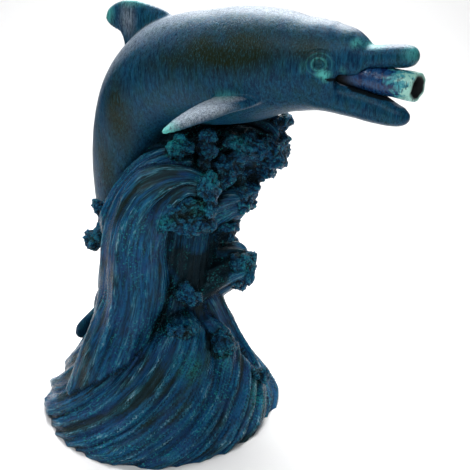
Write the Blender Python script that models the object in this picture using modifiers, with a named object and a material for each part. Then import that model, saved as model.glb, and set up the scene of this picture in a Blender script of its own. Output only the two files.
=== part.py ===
"""Dolphin spitter statue: a patinated casting of a dolphin that leaps over a breaking wave, with a hose inlet
low at the back and a spout tube in the dolphin's open mouth, each seated in a socket of its own.

Metres, +Z up. The origin is the centre of the base on the surface that the statue stands on, and +X is the
dolphin's heading. The wave has its own axes, turned from the heading by WAVE_TURN: its crests break along
its own +X, and its front is its own -Y.
"""

import math

import bmesh
import bpy
import numpy as np
from mathutils import Vector

MM = 0.001

# The skirt of water that the statue stands on, and the column that rises from it
BASE_RADIUS = 0.1125
BASE_FRONT_BULGE = 0.0135
BULGE_POWER = 4
BASE_SHIFT = (0.0055, -0.0085)
BASE_EDGE = 0.009
COLUMN_RADIUS = 0.052
COLUMN_DEPTH_SHARE = 0.86
COLUMN_TAPER = 0.33
FLARE_HEIGHT = 0.108
FLARE_POWER = 1.22
COLUMN_TOP = 0.262
COLUMN_LEAN = 0.033
WAVE_TURN = math.radians(30)

# The relief that running water leaves, coarse and fine: width of a furrow, length along the flow, depth
FURROWS = ((0.0210, 0.110, 0.0080), (0.0095, 0.080, 0.0048))
GRAIN = np.random.default_rng(5).uniform(-1, 1, (61, 509))
SWIRL = math.radians(75)
SWIRL_RATE = 4.5
LEAN_POWER = 1.4
LEVEL_CROWDING = 1.3
STREAM_RELIEF = 1.5
FULL_RELIEF_THICKNESS = 0.014

# The dolphin
MOUTH_CORNER = (0.187, 0.3290)
MOUTH_REACH = 0.075
GAPE_UP = math.radians(9.0)
GAPE_DOWN = math.radians(18.0)
MOUTH_HALF_WIDTH = 0.04
MOUTH_CORNER_GAP = 0.0004
JAW_SQUARENESS = 2.3
EYE_RADIUS = 0.0042
EYE_PLACE = (0.1810, 0.0228, 0.3405)

# The spout tube, the hose inlet and their sockets
SPOUT_RADIUS = 0.0115
SPOUT_BORE_RADIUS = 0.0076
SPOUT_END = (0.2520, 0.0, 0.3243)
SPOUT_LENGTH = 0.098
SPOUT_DROOP = math.radians(8)
SPOUT_CUT_TURN = math.radians(12)
INLET_RADIUS = 0.0075
INLET_BORE_RADIUS = 0.0050
INLET_PROUD = 0.0135
INLET_END = (-0.040, BASE_RADIUS + INLET_PROUD, 0.023)
INLET_LENGTH = 0.044
BARB_HEIGHT = 0.0014
BARB_PITCH = 0.006
BARBS = 3
BARB_START = 0.8
BARB_STEEPNESS = 0.15
SEAT_CLEARANCE = 0.0003

# How finely the shapes are meshed
TUBE_SIDES = 16
BODY_SIDES = 40
JAW_SIDES = 24
FIN_SIDES = 24
DOLPHIN_STEPS = 4
COLUMN_LEVELS = 70
COLUMN_SIDES = 300
STREAM_STEPS = 6
STREAM_SIDES = 96
FOAM_SUBDIVISIONS = 2
VOXEL = 0.0022
CASTING_TRIANGLES = 10800
OVERSHOOT = 0.02

# Body stations, nose to tail: x, z, half height across the spine, half width, in millimetres
BODY = (
    (200.0, 330.0, 12.0, 12.0),
    (199.0, 336.0, 21.5, 16.5),
    (194.0, 339.0, 28.5, 20.5),
    (186.0, 338.7, 33.7, 24.0),
    (176.0, 337.8, 35.8, 27.0),
    (158.0, 338.0, 38.0, 31.0),
    (134.0, 338.5, 43.0, 35.5),
    (106.0, 335.5, 48.0, 39.5),
    (77.0, 331.5, 49.0, 42.0),
    (47.0, 328.5, 48.5, 42.0),
    (20.0, 319.0, 47.5, 40.0),
    (-3.0, 301.0, 43.5, 37.0),
    (-20.0, 274.0, 38.5, 32.0),
    (-32.0, 244.0, 32.0, 26.5),
    (-38.5, 211.0, 26.5, 21.0),
    (-41.0, 176.0, 21.0, 16.0),
    (-42.0, 142.0, 16.0, 12.0),
    (-51.0, 112.0, 12.0, 9.5),
    (-67.0, 88.0, 9.0, 8.0),
    (-73.0, 70.0, 5.0, 6.0),
)
UPPER_JAW = (
    (180.0, 341.5, 14.0, 19.0),
    (196.0, 343.0, 11.8, 16.0),
    (213.0, 345.0, 9.7, 12.5),
    (230.0, 346.8, 9.0, 11.0),
    (241.0, 347.2, 8.8, 9.8),
    (248.0, 347.4, 7.0, 7.6),
    (251.5, 347.4, 3.0, 3.6),
)
LOWER_JAW = (
    (176.0, 318.0, 17.0, 21.0),
    (189.0, 314.0, 14.0, 18.0),
    (205.0, 310.5, 13.0, 15.0),
    (220.0, 306.5, 12.0, 12.5),
    (233.0, 302.5, 9.4, 10.2),
    (242.0, 301.0, 7.0, 7.6),
    (247.0, 301.2, 2.8, 3.4),
)
# Fin stations, root to tip: leading edge point, trailing edge point, half thickness, in millimetres
DORSAL_FIN = (
    ((34.0, 0.0, 369.0), (-25.0, 0.0, 322.0), 8.5),
    ((22.0, 0.0, 378.0), (-26.0, 0.0, 337.0), 7.4),
    ((5.0, 0.0, 383.5), (-26.5, 0.0, 350.0), 6.2),
    ((-12.0, 0.0, 387.0), (-30.0, 0.0, 358.0), 5.2),
    ((-27.0, 0.0, 386.5), (-37.5, 0.0, 362.0), 4.4),
    ((-38.0, 0.0, 382.0), (-44.0, 0.0, 366.0), 3.4),
    ((-44.0, 0.0, 377.0), (-46.5, 0.0, 371.0), 1.6),
)
PECTORAL_FIN = (
    ((136.0, -14.0, 318.0), (90.0, -16.0, 318.0), 6.5),
    ((131.0, -32.0, 308.0), (92.0, -35.0, 311.0), 6.2),
    ((119.0, -48.0, 303.5), (86.5, -50.0, 307.0), 5.2),
    ((108.0, -60.0, 298.0), (80.0, -61.0, 302.0), 4.4),
    ((92.0, -72.0, 291.5), (74.0, -72.0, 295.5), 3.6),
    ((80.0, -80.0, 287.0), (70.5, -79.5, 289.5), 2.6),
    ((73.0, -83.5, 285.5), (69.5, -82.5, 286.5), 1.2),
)
FLUKE = (
    ((-53.0, 4.0, 104.0), (-69.0, 4.0, 64.0), 7.0),
    ((-55.0, -10.0, 96.0), (-73.0, -10.0, 57.0), 6.8),
    ((-59.0, -19.0, 89.0), (-75.0, -19.0, 53.0), 6.4),
    ((-63.0, -27.0, 83.0), (-76.0, -27.0, 53.0), 5.6),
    ((-68.0, -33.0, 77.0), (-76.5, -33.0, 57.0), 4.2),
    ((-72.0, -36.0, 72.0), (-75.5, -36.0, 64.0), 2.0),
)
# The low crests round the front of the skirt: bearing in degrees in the wave's own axes, height and reach in
# millimetres
LOW_CREST = (
    (-128, 40, 0), (-106, 54, 6), (-96, 76, 13), (-86, 91, 20), (-75, 100, 24), (-66, 101, 24), (-58, 97, 20),
    (-52, 88, 11), (-48, 84, 11), (-42, 92, 18), (-34, 88, 18), (-28, 74, 13), (-22, 52, 8), (-16, 38, 6),
    (-4, 30, 0),
)
LOW_CREST_FOOT = 0.012
LOW_CREST_DROP = 0.009
# Streams in the wave's own axes, root to lip: x, y, z, half breadth seen from the front and half depth, in
# millimetres
STREAMS = (
    # the main stream, up the front left and over into a curl
    (
        (-62, -60, 22, 20, 8), (-47, -57, 46, 24, 11), (-31, -52, 80, 26, 15), (-18, -48, 118, 25, 20),
        (-14, -46, 150, 25, 21), (-12, -46, 176, 25, 21), (-6, -48, 200, 23, 20), (5, -51, 219, 19, 17),
        (21, -55, 232, 14, 14), (38, -59, 237, 10, 11), (50, -61, 234, 8, 9), (56, -62, 228, 6, 7),
    ),
    # the second stream, behind the first and up under the belly
    (
        (-27, -10, 90, 27, 30), (-20, -14, 150, 24, 30), (-13, -20, 200, 23, 28), (3, -26, 232, 22, 25),
        (24, -31, 246, 18, 19), (44, -34, 249, 13, 12),
    ),
    # the highest crest, which hangs over under the throat
    (
        (18, 2, 205, 36, 34), (38, 0, 240, 34, 32), (66, -2, 258, 30, 28), (92, -3, 260, 24, 24),
        (106, -3, 250, 17, 18),
    ),
    # the crest below it
    (
        (20, 0, 170, 26, 30), (46, -6, 196, 24, 24), (70, -10, 208, 19, 19), (86, -12, 210, 11, 12),
    ),
    # the broad crest at half height
    (
        (16, 0, 92, 30, 32), (40, -4, 118, 27, 27), (64, -9, 135, 24, 21), (82, -12, 143, 18, 16),
        (92, -12, 145, 10, 10),
    ),
    # a swell down the right side
    (
        (32, -6, 128, 20, 20), (47, -8, 96, 19, 18), (65, -10, 66, 17, 16), (85, -12, 38, 14, 12),
        (101, -14, 14, 9, 8),
    ),
    # at the back, a high stream that curls under the far side of the belly
    (
        (-22, 52, 40, 28, 16), (-26, 46, 100, 27, 19), (-20, 42, 160, 25, 20), (-4, 42, 206, 23, 18),
        (22, 42, 230, 20, 14), (44, 42, 236, 14, 10),
    ),
    # and a lower one beside it
    (
        (26, 58, 30, 24, 14), (34, 48, 80, 23, 17), (46, 42, 122, 20, 16), (64, 38, 144, 15, 12),
        (74, 36, 148, 9, 8),
    ),
    # a low crest at the back left
    (
        (-58, 78, 10, 20, 11), (-44, 68, 44, 19, 12), (-22, 60, 76, 16, 11), (-2, 58, 92, 11, 8),
    ),
)
# Masses of foam in the wave's own axes: x, y, z of the middle, half sizes in x, y and z, lump radius, lumps
FOAM = (
    # the main curl's lip: its hanging edge, the lobe at its foot and the hollow inside it
    (57, -66, 226, 7, 7, 21, 7.5, 18),
    (40, -64, 197, 20, 9, 9, 8.0, 26),
    (18, -60, 200, 6, 6, 8, 6.5, 9),
    (33, -60, 212, 15, 6, 9, 8.5, 20),
    # below the pectoral fin, and the edge that runs down from there
    (34, -44, 264, 11, 8, 7, 8.0, 8),
    (54, -38, 262, 8, 8, 20, 8.0, 14),
    (70, -30, 245, 8, 10, 24, 8.5, 10),
    # under the throat
    (107, -5, 256, 25, 26, 26, 9.5, 64),
    (98, 0, 283, 26, 22, 9, 9.0, 20),
    (106, -7, 234, 14, 12, 9, 8.5, 14),
    (86, -8, 232, 13, 12, 10, 9.0, 14),
    (88, -28, 262, 18, 8, 16, 9.0, 22),
    (125, -3, 280, 8, 10, 5, 6.0, 9),
    (76, -14, 238, 12, 14, 12, 9.0, 10),
    (84, -14, 213, 17, 15, 16, 9.0, 24),
    (72, -16, 181, 12, 13, 12, 8.5, 14),
    # on the crests at half height and below
    (84, -14, 143, 18, 17, 19, 8.5, 34),
    (36, -50, 127, 16, 7, 10, 7.0, 14),
    (30, -68, 98, 17, 7, 5, 6.0, 13),
    (68, -58, 81, 15, 8, 10, 6.5, 16),
    (102, -38, 38, 11, 8, 8, 6.0, 9),
    # at the back left
    (-47, -6, 196, 6, 9, 9, 6.5, 12),
    (-45, -7, 181, 8, 9, 7, 6.5, 12),
    (-55, -6, 168, 10, 10, 11, 7.0, 18),
    (44, 42, 240, 22, 12, 13, 8.5, 16),
    (74, 36, 148, 13, 11, 13, 8.0, 12),
    (2, 60, 92, 14, 8, 8, 7.0, 10),
    (-40, 46, 182, 9, 9, 18, 7.5, 12),
)
FOAM_SEED = 7
LUMP_SPREAD = (0.65, 1.25)
LUMP_KNOBS = 8
KNOB_HEIGHT = 0.30
KNOB_SHARPNESS = 8
KNOB_LEVEL = 0.35


def smooth(points, steps):
    """Catmull-Rom points through a list of rows, steps to each span."""
    p = np.asarray(points, float)
    p = np.vstack([2 * p[0] - p[1], p, 2 * p[-1] - p[-2]])
    found = []
    for i in range(1, len(p) - 2):
        for t in np.arange(steps) / steps:
            a = 2 * p[i]
            b = p[i + 1] - p[i - 1]
            c = 2 * p[i - 1] - 5 * p[i] + 4 * p[i + 1] - p[i + 2]
            d = 3 * p[i] - p[i - 1] - 3 * p[i + 1] + p[i + 2]
            found.append(0.5 * (a + b * t + c * t * t + d * t**3))
    found.append(p[-2])
    return np.array(found)


def unit(v):
    return v / np.maximum(np.linalg.norm(v, axis=-1, keepdims=True), 1e-12)


def new_collection(name):
    found = bpy.data.collections.new(name)
    bpy.context.scene.collection.children.link(found)
    return found


def loft(bm, rings):
    """Adds a capped skin over rings of points to bm."""
    rows = [[bm.verts.new(p) for p in ring] for ring in rings]
    faces = [bm.faces.new(list(reversed(rows[0]))), bm.faces.new(rows[-1])]
    for first, second in zip(rows, rows[1:]):
        for i in range(len(first)):
            j = (i + 1) % len(first)
            faces.append(bm.faces.new((first[i], first[j], second[j], second[i])))
    bmesh.ops.recalc_face_normals(bm, faces=faces)


def wave_to_statue(points):
    """Points in the wave's own axes, turned into the statue's."""
    c, s = math.cos(WAVE_TURN), math.sin(WAVE_TURN)
    p = np.asarray(points, float)
    return np.stack([p[..., 0] * c - p[..., 1] * s, p[..., 0] * s + p[..., 1] * c, p[..., 2]], axis=-1)


def spine_rings(stations, steps, sides, squareness=2.0):
    """Oval rings square to a spine that lies in the XZ plane."""
    rows = smooth(stations, steps) * MM
    path = np.stack([rows[:, 0], np.zeros(len(rows)), rows[:, 1]], axis=1)
    along = unit(np.gradient(path, axis=0))
    over = np.stack([-along[:, 2], np.zeros(len(rows)), along[:, 0]], axis=1)
    turn = np.linspace(0, 2 * math.pi, sides, endpoint=False)
    power = 2 / squareness
    up = np.sign(np.sin(turn)) * np.abs(np.sin(turn)) ** power
    out = np.sign(np.cos(turn)) * np.abs(np.cos(turn)) ** power
    rings = []
    for centre, normal, (half_height, half_width) in zip(path, over, rows[:, 2:4]):
        ring = centre + np.outer(up * half_height, normal)
        ring[:, 1] += out * half_width
        rings.append(ring)
    return rings


def fin_rings(stations, steps, sides):
    """Lens-shaped rings between a leading and a trailing edge, blunt in front and thin behind."""
    flat = [(*lead, *trail, thick) for lead, trail, thick in stations]
    rows = smooth(flat, steps) * MM
    middle = (rows[:, 0:3] + rows[:, 3:6]) / 2
    span = unit(np.gradient(middle, axis=0))
    turn = np.linspace(0, 2 * math.pi, sides, endpoint=False)
    rings = []
    for row, centre, outward in zip(rows, middle, span):
        chord = (row[0:3] - row[3:6]) / 2
        across = unit(np.cross(outward, chord))
        fullness = 0.75 + 0.25 * np.cos(turn)
        ring = centre + np.outer(np.cos(turn), chord)
        ring = ring + np.outer(np.sin(turn) * fullness * row[6], across)
        rings.append(ring)
    return rings


def mirrored(rings):
    return [ring * np.array([1, -1, 1]) for ring in rings]


def column_radius(height):
    """The skirt's outline: an upright edge, a flare at about half a right angle, and an upright column."""
    rise = np.clip((height - BASE_EDGE) / (FLARE_HEIGHT - BASE_EDGE), 0, 1)
    climb = np.clip((height - FLARE_HEIGHT) / (COLUMN_TOP - FLARE_HEIGHT), 0, 1)
    neck = COLUMN_RADIUS * (1 - COLUMN_TAPER * climb)
    return neck, (BASE_RADIUS - COLUMN_RADIUS) * (1 - rise) ** FLARE_POWER


def grain(across, along, around):
    """Smooth noise between -1 and 1, one value to a cell. It repeats every `around` cells across."""
    i, j = np.floor(across).astype(int), np.floor(along).astype(int)
    f, g = across - i, along - j
    f, g = f * f * (3 - 2 * f), g * g * (3 - 2 * g)
    left, right = i % around % GRAIN.shape[1], (i + 1) % around % GRAIN.shape[1]
    low, high = j % GRAIN.shape[0], (j + 1) % GRAIN.shape[0]
    lower = GRAIN[low, left] * (1 - f) + GRAIN[low, right] * f
    upper = GRAIN[high, left] * (1 - f) + GRAIN[high, right] * f
    return lower * (1 - g) + upper * g


def relief(turn, along, girth, layers):
    """Height of sharp ridges that run with the flow, at a turn round it and a distance along it."""
    height = 0
    for width, length, depth in layers:
        around = max(4, round(girth / width))
        cells = turn * around / (2 * math.pi)
        height = height + depth * (0.5 - np.abs(grain(cells, along / length, around)))
    return height


def column_rings(levels, sides, layers=FURROWS):
    """Rings of the skirt and column, whose points and furrows sweep round as the water rises."""
    turn = np.linspace(0, 2 * math.pi, sides, endpoint=False)
    girth = 2 * math.pi * BASE_RADIUS
    crest = np.array(LOW_CREST, float)
    rings = []
    heights = np.concatenate([[-OVERSHOOT], COLUMN_TOP * np.linspace(0, 1, levels) ** LEVEL_CROWDING])
    for height in heights:
        share = max(height, 0) / COLUMN_TOP
        sweep = SWIRL * (1 - math.exp(-SWIRL_RATE * share))
        neck, flare = column_radius(height)
        share_of_flare = flare / (BASE_RADIUS - COLUMN_RADIUS)
        along = np.full(sides, height + flare)
        ridges = relief(turn, along, girth, layers) * (neck + flare) / BASE_RADIUS
        front = np.clip(-np.sin(turn + sweep), 0, 1) ** BULGE_POWER
        bearing = (np.degrees(turn + sweep) + 180) % 360 - 180
        top, reach = (np.interp(bearing, crest[:, 0], crest[:, k]) * MM for k in (1, 2))
        climb = np.clip((height - LOW_CREST_FOOT) / (top - LOW_CREST_FOOT), 0, 1)
        fall = np.clip(1 - (height - top) / LOW_CREST_DROP, 0, 1)
        radius = neck + flare + BASE_FRONT_BULGE * front * share_of_flare + reach * climb * fall + ridges
        deep = COLUMN_DEPTH_SHARE + (1 - COLUMN_DEPTH_SHARE) * share_of_flare
        middle_x = COLUMN_LEAN * share**LEAN_POWER + BASE_SHIFT[0] * share_of_flare
        middle_y = BASE_SHIFT[1] * share_of_flare
        across = middle_x + radius * np.cos(turn + sweep)
        back = middle_y + radius * deep * np.sin(turn + sweep)
        ring = np.stack([across, back, np.full(sides, height)], axis=1)
        rings.append(wave_to_statue(ring))
    return rings


def stream_rings(stations, steps, sides, layers=FURROWS):
    """Oval rings along a stream's path, furrowed along its length. Their breadth is what the front shows."""
    rows = smooth(stations, steps) * MM
    path = rows[:, 0:3]
    along = unit(np.gradient(path, axis=0))
    across = unit(np.cross(np.array([0.0, 1.0, 0.0]), along))
    deep = unit(np.cross(along, across))
    turn = np.linspace(0, 2 * math.pi, sides, endpoint=False)
    girth = math.pi * (rows[:, 3].mean() + rows[:, 4].mean())
    run = stations[0][0] + np.concatenate([[0], np.cumsum(np.linalg.norm(np.diff(path, axis=0), axis=1))])
    rings = []
    for centre, a, n, (half_breadth, half_depth), travelled in zip(path, across, deep, rows[:, 3:5], run):
        slim = min(1.0, half_depth / FULL_RELIEF_THICKNESS)
        ridges = STREAM_RELIEF * slim * relief(turn, np.full(sides, travelled), girth, layers)
        broad = (half_breadth + ridges) * np.cos(turn)
        thick = (half_depth + ridges) * np.sin(turn)
        rings.append(wave_to_statue(centre + np.outer(broad, a) + np.outer(thick, n)))
    return rings


def lump(bm, centre, radius, rng, subdivisions):
    """One lump of foam: a ball with knobs."""
    made = bmesh.ops.create_icosphere(bm, subdivisions=subdivisions, radius=radius)
    knobs = unit(rng.normal(size=(LUMP_KNOBS, 3)))
    for vert in made["verts"]:
        way = np.array(vert.co) / radius
        rise = max(0.0, float(np.max(knobs @ way))) ** KNOB_SHARPNESS
        vert.co = centre + way * radius * (1 + KNOB_HEIGHT * (rise - KNOB_LEVEL))


def add_foam(bm, subdivisions):
    rng = np.random.default_rng(FOAM_SEED)
    for x, y, z, wide, deep, tall, radius, count in FOAM:
        for _ in range(count):
            way = rng.normal(size=3)
            way = way / np.linalg.norm(way) * rng.uniform(0.35, 1.0)
            centre = np.array([x, y, z]) + way * np.array([wide, deep, tall]) * 0.85
            size = radius * rng.uniform(*LUMP_SPREAD)
            lump(bm, wave_to_statue(centre * MM), size * MM, rng, subdivisions)


def object_from(bm, name, collection):
    mesh = bpy.data.meshes.new(name)
    bm.to_mesh(mesh)
    bm.free()
    made = bpy.data.objects.new(name, mesh)
    collection.objects.link(made)
    return made


def material(name, colour, roughness, metallic):
    made = bpy.data.materials.new(name)
    made.use_nodes = True
    shader = made.node_tree.nodes["Principled BSDF"]
    shader.inputs["Base Color"].default_value = (*colour, 1.0)
    shader.inputs["Roughness"].default_value = roughness
    shader.inputs["Metallic"].default_value = metallic
    made.diffuse_color = (*colour, 1.0)
    return made


def baked(obj, name, collection):
    """A new object with obj's modifiers applied; obj is removed."""
    graph = bpy.context.evaluated_depsgraph_get()
    mesh = bpy.data.meshes.new_from_object(obj.evaluated_get(graph))
    mesh.name = name
    bpy.data.objects.remove(obj)
    made = bpy.data.objects.new(name, mesh)
    collection.objects.link(made)
    return made


def sculpt(collection):
    """The whole figure as overlapping closed skins, before they are fused."""
    bm = bmesh.new()
    loft(bm, spine_rings(BODY, DOLPHIN_STEPS, BODY_SIDES))
    for stations in (UPPER_JAW, LOWER_JAW):
        loft(bm, spine_rings(stations, DOLPHIN_STEPS, JAW_SIDES, JAW_SQUARENESS))
    loft(bm, fin_rings(DORSAL_FIN, DOLPHIN_STEPS, FIN_SIDES))
    for stations in (PECTORAL_FIN, FLUKE):
        rings = fin_rings(stations, DOLPHIN_STEPS, FIN_SIDES)
        loft(bm, rings)
        loft(bm, mirrored(rings))
    for side in (-1, 1):
        x, y, z = EYE_PLACE
        made = bmesh.ops.create_uvsphere(bm, u_segments=16, v_segments=10, radius=EYE_RADIUS)
        bmesh.ops.translate(bm, verts=made["verts"], vec=(x, side * y, z))
    loft(bm, column_rings(COLUMN_LEVELS, COLUMN_SIDES))
    for stations in STREAMS:
        loft(bm, stream_rings(stations, STREAM_STEPS, STREAM_SIDES))
    add_foam(bm, FOAM_SUBDIVISIONS)
    return object_from(bm, "clay", collection)


def fused(clay, collection):
    """The clay as one closed skin, smoothed and brought down to CASTING_TRIANGLES."""
    remesh = clay.modifiers.new("fuse", "REMESH")
    remesh.mode = "VOXEL"
    remesh.voxel_size = VOXEL
    soften = clay.modifiers.new("soften", "SMOOTH")
    soften.factor = 0.5
    soften.iterations = 1
    skin = baked(clay, "statue_casting", collection)
    triangles = sum(len(face.vertices) - 2 for face in skin.data.polygons)
    thin = skin.modifiers.new("thin_out", "DECIMATE")
    thin.ratio = min(1.0, CASTING_TRIANGLES / triangles)
    return skin


def spout_axis():
    return Vector((math.cos(SPOUT_DROOP), 0.0, -math.sin(SPOUT_DROOP)))


def inlet_axis():
    return Vector((0.0, 1.0, 0.0))


def put(obj, end, axis):
    """Moves an object made on its own Z axis so that its origin is at end and +Z runs along axis."""
    obj.location = end
    obj.rotation_euler = axis.to_track_quat("Z", "Y").to_euler()
    return obj


def turned(name, collection, profile):
    """A tube turned round Z. The profile is a loop of (radius, distance along Z)."""
    bm = bmesh.new()
    corners = [bm.verts.new((radius, 0.0, along)) for radius, along in profile]
    for first, second in zip(corners, corners[1:] + corners[:1]):
        bm.edges.new((first, second))
    made = object_from(bm, name, collection)
    spin = made.modifiers.new("spin", "SCREW")
    spin.axis = "Z"
    spin.steps = spin.render_steps = TUBE_SIDES
    spin.use_normal_flip = True
    return made


def spout_tube(collection, cutters):
    """A straight tube whose end is cut on a slant."""
    front = SPOUT_RADIUS * math.tan(SPOUT_CUT_TURN)
    profile = (
        (SPOUT_RADIUS, -SPOUT_LENGTH), (SPOUT_RADIUS, front), (SPOUT_BORE_RADIUS, front),
        (SPOUT_BORE_RADIUS, -SPOUT_LENGTH),
    )
    tube = put(turned("spout_tube", collection, profile), SPOUT_END, spout_axis())
    bm = bmesh.new()
    bmesh.ops.create_cube(bm, size=4 * SPOUT_RADIUS)
    bmesh.ops.translate(bm, verts=bm.verts, vec=(2 * SPOUT_RADIUS, 0, 0))
    slant = object_from(bm, "spout_slant", cutters)
    slant.location = SPOUT_END
    slant.rotation_euler = (0, SPOUT_DROOP, -SPOUT_CUT_TURN)
    cut_by(tube, slant)
    return tube


def hose_inlet(collection):
    """A straight stub that leaves the wave's back, with barbs that hold a hose."""
    profile = [(INLET_BORE_RADIUS, 0.0), (INLET_BORE_RADIUS, -INLET_LENGTH), (INLET_RADIUS, -INLET_LENGTH)]
    for i in reversed(range(BARBS)):
        ridge = -(i + BARB_START) * BARB_PITCH
        profile.append((INLET_RADIUS, ridge - BARB_PITCH * BARB_STEEPNESS))
        profile.append((INLET_RADIUS + BARB_HEIGHT, ridge))
    profile.append((INLET_RADIUS, 0.0))
    return put(turned("hose_inlet", collection, profile), INLET_END, inlet_axis())


def socket_cutter(name, collection, end, axis, length, radius):
    """A rod that makes a blind socket for a tube, with a clearance round it and behind it."""
    deep = length + SEAT_CLEARANCE + OVERSHOOT
    bm = bmesh.new()
    seat = radius + SEAT_CLEARANCE
    bmesh.ops.create_cone(bm, cap_ends=True, segments=TUBE_SIDES, radius1=seat, radius2=seat, depth=deep)
    bmesh.ops.translate(bm, verts=bm.verts, vec=(0, 0, OVERSHOOT - deep / 2))
    return put(object_from(bm, name, collection), end, axis)


def floor_cutter(collection):
    """Everything below the surface that the statue stands on."""
    bm = bmesh.new()
    bmesh.ops.create_cube(bm, size=1.0)
    for vert in bm.verts:
        vert.co.x *= 4 * BASE_RADIUS
        vert.co.y *= 4 * BASE_RADIUS
        vert.co.z = (vert.co.z - 0.5) * 3 * OVERSHOOT
    return object_from(bm, "below_the_floor", collection)


def mouth_cutter(collection):
    """The wedge of air between the jaws: a block that opens forwards from the corner of the mouth."""
    corner_x, corner_z = MOUTH_CORNER
    bm = bmesh.new()
    bmesh.ops.create_cube(bm, size=2.0)
    for vert in bm.verts:
        ahead = MOUTH_REACH * (vert.co.x + 1) / 2
        gape = math.tan(GAPE_UP if vert.co.z > 0 else GAPE_DOWN)
        rise = vert.co.z * (MOUTH_CORNER_GAP / 2 + ahead * gape)
        vert.co = (corner_x + ahead, vert.co.y * MOUTH_HALF_WIDTH, corner_z + rise)
    return object_from(bm, "open_mouth", collection)


def cut_by(obj, cutter):
    cutter.hide_render = True
    cutter.display_type = "WIRE"
    cut = obj.modifiers.new(cutter.name, "BOOLEAN")
    cut.operation = "DIFFERENCE"
    cut.solver = "EXACT"
    cut.object = cutter


def statue_casting(parts, cutters):
    casting = fused(sculpt(cutters), parts)
    cut_by(casting, mouth_cutter(cutters))
    sockets = (
        ("spout_socket", SPOUT_END, spout_axis(), SPOUT_LENGTH, SPOUT_RADIUS),
        ("inlet_socket", INLET_END, inlet_axis(), INLET_LENGTH, INLET_RADIUS),
    )
    for name, end, axis, length, radius in sockets:
        cut_by(casting, socket_cutter(name, cutters, end, axis, length, radius))
    cut_by(casting, floor_cutter(cutters))
    return casting


def build():
    for obj in list(bpy.data.objects):
        bpy.data.objects.remove(obj)
    parts = new_collection("dolphin_spitter_statue")
    cutters = new_collection("cutters")
    casting = statue_casting(parts, cutters)
    casting.data.materials.append(material("patinated_casting", (0.030, 0.105, 0.165), 0.42, 0.35))
    spout = spout_tube(parts, cutters)
    spout.data.materials.append(material("painted_tube", (0.10, 0.30, 0.36), 0.40, 0.2))
    inlet = hose_inlet(parts)
    inlet.data.materials.append(material("inlet_brass", (0.42, 0.31, 0.12), 0.38, 1.0))


build()
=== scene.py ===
"""The looks of the dolphin spitter statue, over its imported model.

Metres, +Z up, +X the dolphin's heading. The photograph's camera looks from the statue's right and a little
ahead of it. The casting's node is replaced by three detailed skins: the dolphin, the water with
its streams and the foam. The tubes are replaced by finer ones.
"""

import math

import bmesh
import bpy
import numpy as np
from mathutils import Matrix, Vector, bvhtree, kdtree, noise


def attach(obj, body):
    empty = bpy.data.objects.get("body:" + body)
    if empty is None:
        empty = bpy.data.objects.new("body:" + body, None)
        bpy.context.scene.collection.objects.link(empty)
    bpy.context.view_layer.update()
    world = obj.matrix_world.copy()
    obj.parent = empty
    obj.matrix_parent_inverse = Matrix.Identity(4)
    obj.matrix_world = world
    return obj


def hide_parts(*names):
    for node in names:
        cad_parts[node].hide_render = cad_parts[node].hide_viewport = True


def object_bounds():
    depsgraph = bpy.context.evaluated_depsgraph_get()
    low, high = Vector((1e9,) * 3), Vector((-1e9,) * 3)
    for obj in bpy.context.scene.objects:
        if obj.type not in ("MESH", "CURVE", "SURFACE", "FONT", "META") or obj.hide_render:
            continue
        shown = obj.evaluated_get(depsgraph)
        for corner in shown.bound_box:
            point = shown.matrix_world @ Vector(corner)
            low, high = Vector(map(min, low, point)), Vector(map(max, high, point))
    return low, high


# The photograph's view: the camera's distance from the statue's axis, height, sideways shift and pitch
CAMERA_DISTANCE = 0.74
CAMERA_HEIGHT = 0.395
CAMERA_SHIFT = 0.0792
CAMERA_PITCH = math.radians(17)
CAMERA_LENS = 61.28
SENSOR = 36.0

# How finely the skins are meshed
CLAY_VOXEL = 0.0014
DOLPHIN_VOXEL = 0.0013
WATER_VOXEL = 0.0014
FOAM_VOXEL = 0.00135
COLUMN_LEVELS = 110
COLUMN_SIDES = 640
STREAM_STEPS = 8
STREAM_SIDES = 128
OVERSHOOT = 0.02

MM = 0.001

# The skirt of water that the statue stands on, and the column that rises from it
BASE_RADIUS = 0.1125
BASE_FRONT_BULGE = 0.0135
BULGE_POWER = 4
BASE_SHIFT = (0.0055, -0.0085)
BASE_EDGE = 0.009
COLUMN_RADIUS = 0.052
COLUMN_DEPTH_SHARE = 0.86
COLUMN_TAPER = 0.33
FLARE_HEIGHT = 0.108
FLARE_POWER = 1.22
COLUMN_TOP = 0.262
COLUMN_LEAN = 0.033
WAVE_TURN = math.radians(30)

# The relief that running water leaves, coarse and fine: width of a furrow, length along the flow, depth
FURROWS = ((0.0210, 0.110, 0.0080), (0.0095, 0.080, 0.0048))
GRAIN = np.random.default_rng(5).uniform(-1, 1, (61, 509))
SWIRL = math.radians(75)
SWIRL_RATE = 4.5
LEAN_POWER = 1.4
LEVEL_CROWDING = 1.3
STREAM_RELIEF = 1.5
FULL_RELIEF_THICKNESS = 0.014

# The dolphin
MOUTH_CORNER = (0.187, 0.3290)
MOUTH_REACH = 0.075
GAPE_UP = math.radians(9.0)
GAPE_DOWN = math.radians(18.0)
MOUTH_HALF_WIDTH = 0.04
MOUTH_CORNER_GAP = 0.0004
JAW_SQUARENESS = 2.3
EYE_RADIUS = 0.0042
EYE_PLACE = (0.1810, 0.0228, 0.3405)

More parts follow.
